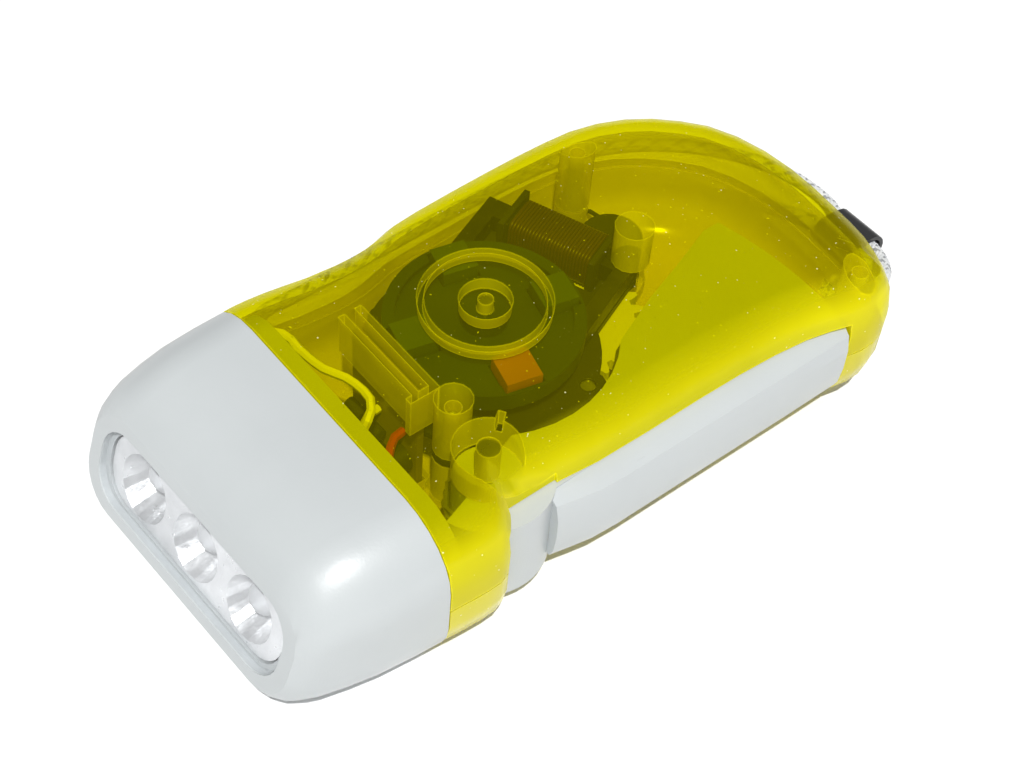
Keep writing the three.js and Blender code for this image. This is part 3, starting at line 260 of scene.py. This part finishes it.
def add_tube(verts, faces, line, sides, radius):
    """A closed tube along the line, added to the lists."""
    base = len(verts)
    for point, (u, v) in zip(line, frames_along(line)):
        for k in range(sides):
            turn = 2 * math.pi * k / sides
            verts.append(point + (u * math.cos(turn) + v * math.sin(turn)) * radius)
    for i in range(len(line) - 1):
        for k in range(sides):
            a = base + i * sides + k
            b = base + i * sides + (k + 1) % sides
            faces.append((a, b, b + sides, a + sides))
    faces.append(tuple(base + k for k in reversed(range(sides))))
    last = base + (len(line) - 1) * sides
    faces.append(tuple(last + k for k in range(sides)))


# Materials


class Nodes:
    """A new material and short calls to add its nodes."""

    def __init__(self, name):
        self.material = bpy.data.materials.new(name)
        self.material.use_nodes = True
        self.tree = self.material.node_tree
        self.tree.nodes.clear()
        self.out = self.tree.nodes.new("ShaderNodeOutputMaterial")

    def add(self, kind, settings=None, **values):
        node = self.tree.nodes.new("ShaderNode" + kind)
        for key, value in (settings or {}).items():
            setattr(node, key, value)
        for key, value in values.items():
            socket = node.inputs[key.replace("_", " ")]
            if isinstance(value, bpy.types.NodeSocket):
                self.tree.links.new(value, socket)
            else:
                socket.default_value = value
        return node

    def link(self, a, b):
        self.tree.links.new(a, b)

    def noise(self, scale, detail=3.0, roughness=0.5):
        where = self.add("TexCoord").outputs["Object"]
        return self.add(
            "TexNoise", Vector=where, Scale=scale, Detail=detail, Roughness=roughness
        ).outputs["Fac"]

    def ramp(self, value, low, high, first=0.0, last=1.0):
        node = self.add(
            "MapRange",
            {"clamp": True},
            Value=value,
            From_Min=low,
            From_Max=high,
            To_Min=first,
            To_Max=last,
        )
        return node.outputs["Result"]

    def math(self, operation, a, b=0.0):
        node = self.tree.nodes.new("ShaderNodeMath")
        node.operation = operation
        for socket, value in zip(node.inputs, (a, b)):
            if isinstance(value, bpy.types.NodeSocket):
                self.tree.links.new(value, socket)
            else:
                socket.default_value = value
        return node.outputs["Value"]

    def blend(self, factor, a, b):
        node = self.tree.nodes.new("ShaderNodeMix")
        node.data_type = "RGBA"
        self.link(factor, node.inputs["Factor"])
        for socket, value in ((node.inputs[6], a), (node.inputs[7], b)):
            if isinstance(value, bpy.types.NodeSocket):
                self.link(value, socket)
            else:
                socket.default_value = (*value, 1)
        return node.outputs[2]

    def bump(self, height, depth):
        node = self.add("Bump", Strength=1.0, Distance=depth, Height=height)
        return node.outputs["Normal"]

    def finish(self, shader):
        self.link(shader, self.out.inputs["Surface"])
        return self.material


# Scales of the textures on opaque plastic, and how much duller a scuff is
MOTTLE, SCUFFS, DULLING, FINE_GRAIN = 55.0, 420.0, 160.0, 2600.0
SCUFF_ROUGHNESS = 0.105

# Scales of the textures on metal
TOOL_MARKS, TARNISH = 900.0, 180.0

# The casing's textures, and how its haze grows with them
SPECKS, CLOUD, FLOW = 2100.0, 38.0, 70.0
SPECK_HAZE = 0.55
SPECK_COLOR = (0.95, 0.93, 0.5)
# Grazing haze: partly the denser look of a longer path through the wall, partly a painted edge highlight
GRAZING_HAZE = 0.35
# Bevel radius that finds the rounded rims for their painted highlight
RIM_RADIUS = 0.0003

# Clear plastic of the lens and the lamps
SMEARS, RIPPLES = 260.0, 120.0
CLEAR_GLOSS = 0.04


def moulded(name, color, deeper, roughness, grain=0.000006):
    """Opaque moulded plastic: a faint mottle, fine grain, and a few scuffs."""
    n = Nodes(name)
    mottle = n.ramp(n.noise(MOTTLE, 4.0), 0.35, 0.7)
    base = n.blend(mottle, color, deeper)
    scuff = n.ramp(n.noise(SCUFFS, 6.0, 0.7), 0.66, 0.74)
    dull = n.ramp(n.noise(DULLING), 0.3, 0.7, roughness - 0.05, roughness + 0.06)
    rough = n.math("ADD", dull, n.math("MULTIPLY", scuff, SCUFF_ROUGHNESS))
    normal = n.bump(n.noise(FINE_GRAIN, 2.0), grain)
    shader = n.add("BsdfPrincipled", Base_Color=base, Roughness=rough, Normal=normal)
    return n.finish(shader.outputs["BSDF"])


def metal(name, color, deeper, roughness, grain=0.00002, shine=1.0):
    """Bare metal with fine tool marks and some dulling."""
    n = Nodes(name)
    marks = n.noise(TOOL_MARKS, 3.0, 0.6)
    base = n.blend(n.ramp(n.noise(TARNISH, 4.0), 0.35, 0.7), color, deeper)
    rough = n.ramp(marks, 0.3, 0.7, roughness - 0.06, roughness + 0.1)
    shader = n.add(
        "BsdfPrincipled", Base_Color=base, Roughness=rough, Normal=n.bump(marks, grain)
    )
    shader.inputs["Metallic"].default_value = shine
    return n.finish(shader.outputs["BSDF"])


def clear_casing(name, tint, haze_color, flat_haze, wall_haze, painted_rim_highlight):
    """Clear yellow plastic: each surface tints the light, and its satin haze catches it.

    The upright walls and ribs are duller than the flat faces, and the specks in the
    plastic catch more light. The rounded rims get a painted highlight: extra haze
    that shows them as thin bright edges.
    """
    n = Nodes(name)
    through = n.add("BsdfTransparent", Color=(*tint, 1))
    split = n.add("SeparateXYZ", Vector=n.add("TexCoord").outputs["Normal"])
    level = n.math("ABSOLUTE", split.outputs["Z"])
    wall = n.ramp(level, 0.92, 0.45)
    # More haze at grazing angles: partly the denser look of a longer path through the wall, partly a painted highlight
    # that lights the edges
    facing = n.add("LayerWeight", Blend=0.3).outputs["Facing"]
    edge = n.math("MULTIPLY", n.math("POWER", facing, 3.0), GRAZING_HAZE)
    specks = n.ramp(n.noise(SPECKS, 1.0, 0.4), 0.765, 0.8)
    cloud = n.ramp(n.noise(CLOUD), 0.35, 0.7, 0.85, 1.15)
    haze = n.math("ADD", n.math("MULTIPLY", wall, wall_haze), flat_haze)
    haze = n.math("ADD", n.math("MULTIPLY", haze, cloud), edge)
    haze = n.math("ADD", haze, n.math("MULTIPLY", specks, SPECK_HAZE))
    plain = n.add("NewGeometry").outputs["True Normal"]
    # Painted highlight: extra haze along the rounded rims, shown as thin bright edges
    rounded = n.add("Bevel", {"samples": 3})
    rounded.inputs["Radius"].default_value = RIM_RADIUS
    turned = n.add("VectorMath", {"operation": "DOT_PRODUCT"})
    n.link(plain, turned.inputs[0])
    n.link(rounded.outputs["Normal"], turned.inputs[1])
    rim_highlight_mask = n.ramp(turned.outputs["Value"], 0.97, 0.8)
    haze = n.math("ADD", haze, n.math("MULTIPLY", rim_highlight_mask, painted_rim_highlight))
    flow = n.bump(n.noise(FLOW, 2.0), 0.00004)
    body = n.add("BsdfPrincipled", Normal=flow)
    body.inputs["Roughness"].default_value = 0.18
    body.inputs["Specular IOR Level"].default_value = 0.3
    n.link(n.blend(specks, haze_color, SPECK_COLOR), body.inputs["Base Color"])
    mix = n.add("MixShader", Fac=haze)
    n.link(through.outputs[0], mix.inputs[1])
    n.link(body.outputs[0], mix.inputs[2])
    return n.finish(mix.outputs[0])


def clear_plastic(name, tint, haze, roughness=0.05):
    """Colourless clear plastic with a gloss that grows at grazing angles."""
    n = Nodes(name)
    through = n.add("BsdfTransparent", Color=(*tint, 1))
    facing = n.add("LayerWeight", Blend=0.5).outputs["Facing"]
    grazing = n.math("MULTIPLY", n.math("POWER", facing, 5.0), 0.8)
    gloss = n.math("ADD", grazing, CLEAR_GLOSS)
    smear = n.ramp(n.noise(SMEARS, 4.0), 0.4, 0.75, 0.0, 0.05)
    part = n.math("ADD", n.math("ADD", gloss, smear), haze)
    body = n.add("BsdfPrincipled", Normal=n.bump(n.noise(RIPPLES, 2.0), 0.00002))
    body.inputs["Base Color"].default_value = (0.93, 0.94, 0.95, 1)
    body.inputs["Roughness"].default_value = roughness
    mix = n.add("MixShader", Fac=part)
    n.link(through.outputs[0], mix.inputs[1])
    n.link(body.outputs[0], mix.inputs[2])
    return n.finish(mix.outputs[0])


# The rim value of each casing is the strength of its painted highlight on the rounded rims
CASING = clear_casing(
    "clear_yellow", (0.905, 0.885, 0.008), (0.99, 0.91, 0.003),
    flat_haze=0.03, wall_haze=0.43, painted_rim_highlight=0.6,
)
CASING_LOW = clear_casing(
    "satin_yellow", (0.95, 0.91, 0.012), (0.8, 0.72, 0.003),
    flat_haze=0.32, wall_haze=0.42, painted_rim_highlight=0.35,
)
GREY = moulded(
    "light_grey", (0.545, 0.575, 0.58), (0.515, 0.545, 0.55), 0.33, grain=0.000012
)
LENS = clear_plastic("lens_clear", (0.965, 0.97, 0.975), 0.0)
LAMP = clear_plastic("lamp_epoxy", (0.95, 0.955, 0.96), 0.55, 0.2)
MIRROR = metal(
    "silvered", (0.94, 0.942, 0.945), (0.72, 0.725, 0.73), 0.32, grain=0.00008, shine=0.72
)
BOARD = moulded("board_brown", (0.3, 0.25, 0.1), (0.24, 0.2, 0.08), 0.42)
NYLON = moulded("nylon", (0.8, 0.78, 0.68), (0.72, 0.7, 0.6), 0.45)
STEEL = metal("steel", (0.6, 0.61, 0.62), (0.45, 0.46, 0.47), 0.3)
DARK_STEEL = metal("dark_steel", (0.12, 0.125, 0.13), (0.07, 0.075, 0.08), 0.45)
BLACK = moulded("black_plastic", (0.03, 0.033, 0.035), (0.02, 0.022, 0.024), 0.5)
FLYWHEEL = moulded("dark_flywheel", (0.028, 0.052, 0.06), (0.018, 0.034, 0.04), 0.42)
WEIGHT = moulded("weight_grey", (0.055, 0.095, 0.11), (0.045, 0.08, 0.09), 0.4)
ORANGE = moulded("orange_block", (0.42, 0.15, 0.05), (0.36, 0.12, 0.04), 0.5)
COPPER = metal("copper_wire", (0.5, 0.22, 0.1), (0.38, 0.16, 0.07), 0.35)
WINDING = moulded("dark_enamel", (0.075, 0.04, 0.022), (0.05, 0.03, 0.018), 0.35)
WHITE_WIRE = moulded("white_insulation", (0.9, 0.9, 0.85), (0.84, 0.84, 0.78), 0.4)
RED_WIRE = moulded("red_insulation", (0.55, 0.04, 0.03), (0.45, 0.03, 0.02), 0.4)
SLEEVE = moulded("black_sleeve", (0.02, 0.021, 0.022), (0.035, 0.036, 0.038), 0.35)

DRESS = {
    CASING: ["upper_shell"],
    CASING_LOW: ["lower_shell"],
    GREY: ["head_bezel", "squeeze_lever", "lever_latch"],
    LENS: ["front_lens"],
    LAMP: ["led_1", "led_2", "led_3"],
    MIRROR: ["reflector"],
    BOARD: ["lamp_board", "rectifier_board"],
    NYLON: ["first_gear", "second_gear", "drive_pinion"],
    STEEL: [
        "first_axle", "second_axle", "flywheel_shaft", "lever_pin", "lever_spring",
        "shell_screw_1", "shell_screw_2", "shell_screw_3",
    ],
    DARK_STEEL: ["ring_magnet", "stator_core"],
    BLACK: [
        "clutch_pawl", "coil_bobbin", "gear_plate", "diode_1", "diode_2", "diode_3",
        "diode_4", "capacitor", "storage_cell", "cell_lead",
    ],
    FLYWHEEL: ["flywheel"],
    WEIGHT: ["balance_weight_2", "balance_weight_3", "balance_weight_4"],
    ORANGE: ["balance_weight_1"],
    COPPER: ["coil_lead_1", "coil_lead_2", "coil_winding"],
    WHITE_WIRE: ["white_lead"],
    RED_WIRE: ["red_lead"],
    SLEEVE: ["strap_sleeve", "wrist_cord"],
}

SMOOTH_BELOW = math.radians(34)
WELD_DISTANCE = 0.000002


def smoothing_group():
    """Geometry nodes that weld doubled corners and shade smooth below an angle."""
    group = bpy.data.node_groups.new("smooth", "GeometryNodeTree")
    group.is_modifier = True
    for way in ("INPUT", "OUTPUT"):
        group.interface.new_socket(
            "Geometry", in_out=way, socket_type="NodeSocketGeometry"
        )
    add = group.nodes.new
    start, end = add("NodeGroupInput"), add("NodeGroupOutput")
    weld = add("GeometryNodeMergeByDistance")
    weld.inputs["Distance"].default_value = WELD_DISTANCE
    faces = add("GeometryNodeSetShadeSmooth")
    faces.domain = "FACE"
    faces.inputs["Shade Smooth"].default_value = True
    edges = add("GeometryNodeSetShadeSmooth")
    edges.domain = "EDGE"
    turn = add("GeometryNodeInputMeshEdgeAngle")
    flat = add("FunctionNodeCompare")
    flat.data_type = "FLOAT"
    flat.operation = "LESS_EQUAL"
    flat.inputs[1].default_value = SMOOTH_BELOW
    link = group.links.new
    link(start.outputs[0], weld.inputs["Geometry"])
    link(weld.outputs["Geometry"], faces.inputs["Geometry"])
    link(faces.outputs["Geometry"], edges.inputs["Geometry"])
    link(turn.outputs["Unsigned Angle"], flat.inputs[0])
    link(flat.outputs["Result"], edges.inputs["Shade Smooth"])
    link(edges.outputs["Geometry"], end.inputs[0])
    return group


def dress_nodes():
    group = smoothing_group()
    for material, names in DRESS.items():
        for name in names:
            obj = nodes[name]
            obj.data.materials.clear()
            obj.data.materials.append(material)
            smooth = obj.modifiers.new("smooth", "NODES")
            smooth.node_group = group
            if material not in (CASING, CASING_LOW):
                weighted = obj.modifiers.new("weighted", "WEIGHTED_NORMAL")
                weighted.keep_sharp = True


dress_nodes()

# Wrist strap: a braided cord on the route of the CAD cord

CORD_ROUTE = [
    (14.75, 45.3, 7.5), (14.8, 48.5, 7.5), (14.9, 51.5, 7.45), (14.9, 54, 7.3),
    (14.3, 57, 6.5), (12.2, 59.7, 5.2), (9.4, 61.8, 3.9), (6.8, 62.9, 3.1),
    (3.6, 63.4, 2.5), (0.2, 63.6, 2.1),
    (-1.7, 64.75, 1.75), (-4.2, 65.6, 1.35), (-7.2, 65.75, 1.15),
    (-10.8, 65.35, 1.05), (-15.1, 64, 1.05), (-19.8, 61.4, 1.05),
    (-24.4, 57.6, 1.05), (-28.3, 53, 1.05), (-31.4, 48, 1.05), (-33.6, 42.2, 1.05),
    (-34.9, 35.4, 1.05), (-35.3, 28, 1.05), (-35.3, 18, 1.05), (-35.2, 8, 1.05),
    (-35.1, -2, 1.05), (-35.1, -9, 1.05), (-35.1, -14, 1.05), (-33.9, -16.8, 1.05),
    (-31.1, -18, 1.05), (-28.3, -16.8, 1.05), (-27.1, -14, 1.05), (-27.1, -9, 1.05),
    (-27.1, 0, 1.05), (-27.1, 12, 1.05), (-27.1, 23, 1.05), (-26.6, 31, 1.05),
    (-25.2, 38, 1.05), (-22.4, 44.5, 1.05), (-18.3, 50, 1.05), (-13.2, 54.8, 1.1),
    (-7.5, 58.5, 1.3), (-3, 60.3, 1.7), (0.2, 60.95, 2.15), (3.4, 60.65, 2.6),
    (6.5, 60.3, 3.05), (8.4, 59.7, 3.7), (10.1, 58.2, 5.2), (11.6, 56, 6.6),
    (12.1, 54, 7.3), (12.05, 51.5, 7.45), (12.05, 48.5, 7.5), (12.05, 45.3, 7.5),
]
CORD_DIAMETER = 2.0 * MM
YARNS = 8
YARN_RADIUS = 0.25 * MM
YARN_SIDES = 5
DARK_YARN_EVERY = 4
BRAID_PITCH = 7.2 * MM
CORE_SIDES = 8
CORE_EVERY = 8
CORD_STEPS = 1300

# In yarn radii: how far the core and the yarns lie below the cord's surface, and how
# far a yarn swings in and out as it weaves
CORE_DEPTH, YARN_DEPTH, WEAVE_SWING = 1.7, 1.35, 0.35

# Scales of the textures on the cord
YARN_TONE, FIBRES = 700.0, 2400.0


def cord_material():
    n = Nodes("braided_cord")
    tone = n.ramp(n.noise(YARN_TONE, 4.0, 0.7), 0.35, 0.68)
    yarn = n.add("Attribute", {"attribute_name": "yarn"}).outputs["Fac"]
    pale = n.blend(tone, (0.62, 0.64, 0.66), (0.82, 0.83, 0.84))
    dull = n.blend(tone, (0.24, 0.25, 0.26), (0.4, 0.41, 0.42))
    base = n.blend(n.ramp(yarn, 0.4, 0.6), pale, dull)
    fibre = n.bump(n.noise(FIBRES, 3.0, 0.6), 0.00005)
    body = n.add("BsdfPrincipled", Base_Color=base, Normal=fibre)
    body.inputs["Roughness"].default_value = 0.75
    body.inputs["Sheen Weight"].default_value = 0.25
    body.inputs["Sheen Roughness"].default_value = 0.5
    return n.finish(body.outputs[0])


def braided_cord():
    """A core tube and crossing yarns that pass over and under each other, in one mesh.

    The attribute yarn is 1 on the few darker yarns.
    """
    points, length = catmull([mm(*p) for p in CORD_ROUTE], CORD_STEPS)
    across = frames_along(points)
    verts, faces = [], []
    core = points[::CORE_EVERY] + [points[-1]]
    core_radius = CORD_DIAMETER / 2 - CORE_DEPTH * YARN_RADIUS
    add_tube(verts, faces, core, CORE_SIDES, core_radius)
    marks = [0.0] * len(verts)
    middle = CORD_DIAMETER / 2 - YARN_DEPTH * YARN_RADIUS
    step = length / (len(points) - 1)
    for way in (1, -1):
        for y in range(YARNS):
            line = []
            for i, (point, (u, v)) in enumerate(zip(points, across)):
                turns = i * step / BRAID_PITCH
                turn = 2 * math.pi * (way * turns + y / YARNS)
                weave = way * math.cos(2 * math.pi * turns * YARNS)
                out = middle + YARN_RADIUS * WEAVE_SWING * weave
                line.append(point + (u * math.cos(turn) + v * math.sin(turn)) * out)
            add_tube(verts, faces, line, YARN_SIDES, YARN_RADIUS)
            dark = 1.0 if y % DARK_YARN_EVERY == 0 else 0.0
            marks.extend([dark] * (len(verts) - len(marks)))
    obj = mesh_object("braided_strap", verts, faces)
    mark = obj.data.attributes.new("yarn", "FLOAT", "POINT")
    mark.data.foreach_set("value", marks)
    obj.data.materials.append(cord_material())
    return obj, points, length


strap, strap_points, strap_length = braided_cord()
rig.ride(strap, "casing")
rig.slot(strap, "cord")
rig.replaces(strap, "wrist_cord")
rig.cord(
    strap,
    exit=strap_points[0],
    length=strap_length,
    diameter=CORD_DIAMETER,
    far_end="object",
    stiffness="limp",
    lay="loose",
    path=strap_points[::10],
    with_pieces=[nodes["strap_sleeve"]],
)

# Coil: two close layers of enamelled wire on the bobbin, over the form of the CAD winding

FLYWHEEL_AT = (-4.0, -0.85)
STATOR_TURN = math.radians(112)
SLEEVE_OUT = (17.7, 22.3)
SLEEVE_Z = (13.65, 17.85)
WINDING_HALF = 6.05
SLEEVE_CORNER = 0.35
LAYER_TURNS = 26
TURN_STEPS = 20
WIRE_SIDES = 6

# Each layer's distance from the bobbin's sleeve, and its wire's radius
LAYERS = ((0.22, 0.2), (0.61, 0.22))

# How much of each quarter turn goes to the corner, before the straight side
CORNER_SHARE = 0.6


def on_stator(out, side, z):
    c, s = math.cos(STATOR_TURN), math.sin(STATOR_TURN)
    return mm(FLYWHEEL_AT[0] + out * c + side * s, FLYWHEEL_AT[1] + out * s - side * c, z)


def round_turn(off, share):
    """A point on a rounded rectangle that lies off the bobbin's sleeve."""
    reach = off + SLEEVE_CORNER
    quarter, part = divmod(share * 4, 1)
    quarter = int(quarter) % 4
    signs = ((1, 1), (-1, 1), (-1, -1), (1, -1))
    a, b = signs[quarter], signs[(quarter + 1) % 4]
    mid_out, mid_z = sum(SLEEVE_OUT) / 2, sum(SLEEVE_Z) / 2
    half_out = (SLEEVE_OUT[1] - SLEEVE_OUT[0]) / 2 - SLEEVE_CORNER
    half_z = (SLEEVE_Z[1] - SLEEVE_Z[0]) / 2 - SLEEVE_CORNER
    turned = min(part / CORNER_SHARE, 1)
    along = max(part - CORNER_SHARE, 0) / (1 - CORNER_SHARE)
    angle = math.pi / 2 * (quarter + turned)
    return (
        mid_out + (a[0] + (b[0] - a[0]) * along) * half_out + reach * math.cos(angle),
        mid_z + (a[1] + (b[1] - a[1]) * along) * half_z + reach * math.sin(angle),
    )


def wound_coil():
    verts, faces = [], []
    for layer, (off, radius) in enumerate(LAYERS):
        line = []
        for i in range(LAYER_TURNS * TURN_STEPS + 1):
            turns = i / TURN_STEPS
            out, z = round_turn(off, turns % 1)
            along = -WINDING_HALF + 2 * WINDING_HALF * turns / LAYER_TURNS
            line.append(on_stator(out, along if layer == 0 else -along, z))
        add_tube(verts, faces, line, WIRE_SIDES, radius * MM)
    obj = mesh_object("wound_coil", verts, faces)
    obj.data.materials.append(WINDING)
    return obj


coil = wound_coil()
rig.ride(coil, "casing")
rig.slot(coil, "copper")
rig.replaces(coil, "coil_winding")

# Stage and light

FLOOR_HALF = 1.6
FLOOR_Z = -0.00005
FLOOR_GLOW = 0.05
WORLD_LIGHT = 0.28
WORLD_SHOWN = 1.0
FLASH_POWER = 24.0
FLASH_SIZE = (0.03, 0.03)
FLASH_AWAY, FLASH_RIGHT, FLASH_UP = 1.5, 0.08, 0.31


def add_floor():
    n = Nodes("white_floor")
    body = n.add("BsdfDiffuse", Color=(0.92, 0.92, 0.92, 1))
    glow = n.add("Emission", Color=(1, 1, 1, 1), Strength=FLOOR_GLOW)
    both = n.add("AddShader")
    n.link(body.outputs[0], both.inputs[0])
    n.link(glow.outputs[0], both.inputs[1])
    rays = n.add("LightPath")
    seen = n.math("MAXIMUM", rays.outputs["Is Camera Ray"], rays.outputs["Is Glossy Ray"])
    seen = n.math("MAXIMUM", seen, rays.outputs["Is Transmission Ray"])
    mix = n.add("MixShader", Fac=seen)
    n.link(body.outputs[0], mix.inputs[1])
    n.link(both.outputs[0], mix.inputs[2])
    corners = [
        (x * FLOOR_HALF, y * FLOOR_HALF, FLOOR_Z)
        for x, y in ((-1, -1), (1, -1), (1, 1), (-1, 1))
    ]
    floor = mesh_object("floor", corners, [(0, 1, 2, 3)], smooth=False)
    floor.data.materials.append(n.finish(mix.outputs[0]))
    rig.stage(floor)


def add_world():
    world = bpy.data.worlds.new("plain")
    bpy.context.scene.world = world
    world.use_nodes = True
    tree = world.node_tree
    tree.nodes.clear()
    add = tree.nodes.new
    out, mix = add("ShaderNodeOutputWorld"), add("ShaderNodeMixShader")
    lit, shown = add("ShaderNodeBackground"), add("ShaderNodeBackground")
    rays = add("ShaderNodeLightPath")
    for node, strength in ((lit, WORLD_LIGHT), (shown, WORLD_SHOWN)):
        node.inputs["Color"].default_value = (1, 1, 1, 1)
        node.inputs["Strength"].default_value = strength
    tree.links.new(rays.outputs["Is Camera Ray"], mix.inputs[0])
    tree.links.new(lit.outputs[0], mix.inputs[1])
    tree.links.new(shown.outputs[0], mix.inputs[2])
    tree.links.new(mix.outputs[0], out.inputs[0])


def add_lamp(name, at, towards, size, power):
    light = bpy.data.lights.new(name, "AREA")
    light.shape = "RECTANGLE"
    light.size, light.size_y = size
    light.energy = power
    lamp = add_object(name, light)
    lamp.location = at
    lamp.rotation_euler = (towards - at).to_track_quat("-Z", "Y").to_euler()


add_floor()
add_world()
centre = Vector((0, 0, 0.012))
flash = (
    centre
    + (CAMERA_AT - centre).normalized() * FLASH_AWAY
    + Vector(CAMERA_RIGHT) * FLASH_RIGHT
    + Vector(CAMERA_UP) * FLASH_UP
)
add_lamp("flash", flash, centre, FLASH_SIZE, FLASH_POWER)

bpy.context.scene.view_settings.view_transform = "Standard"

shown_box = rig.bounds()
with open("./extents.json", "w") as file:
    json.dump(
        {
            "cad": [list(corner) for corner in cad_box],
            "visual": [list(corner) for corner in shown_box],
        },
        file,
    )
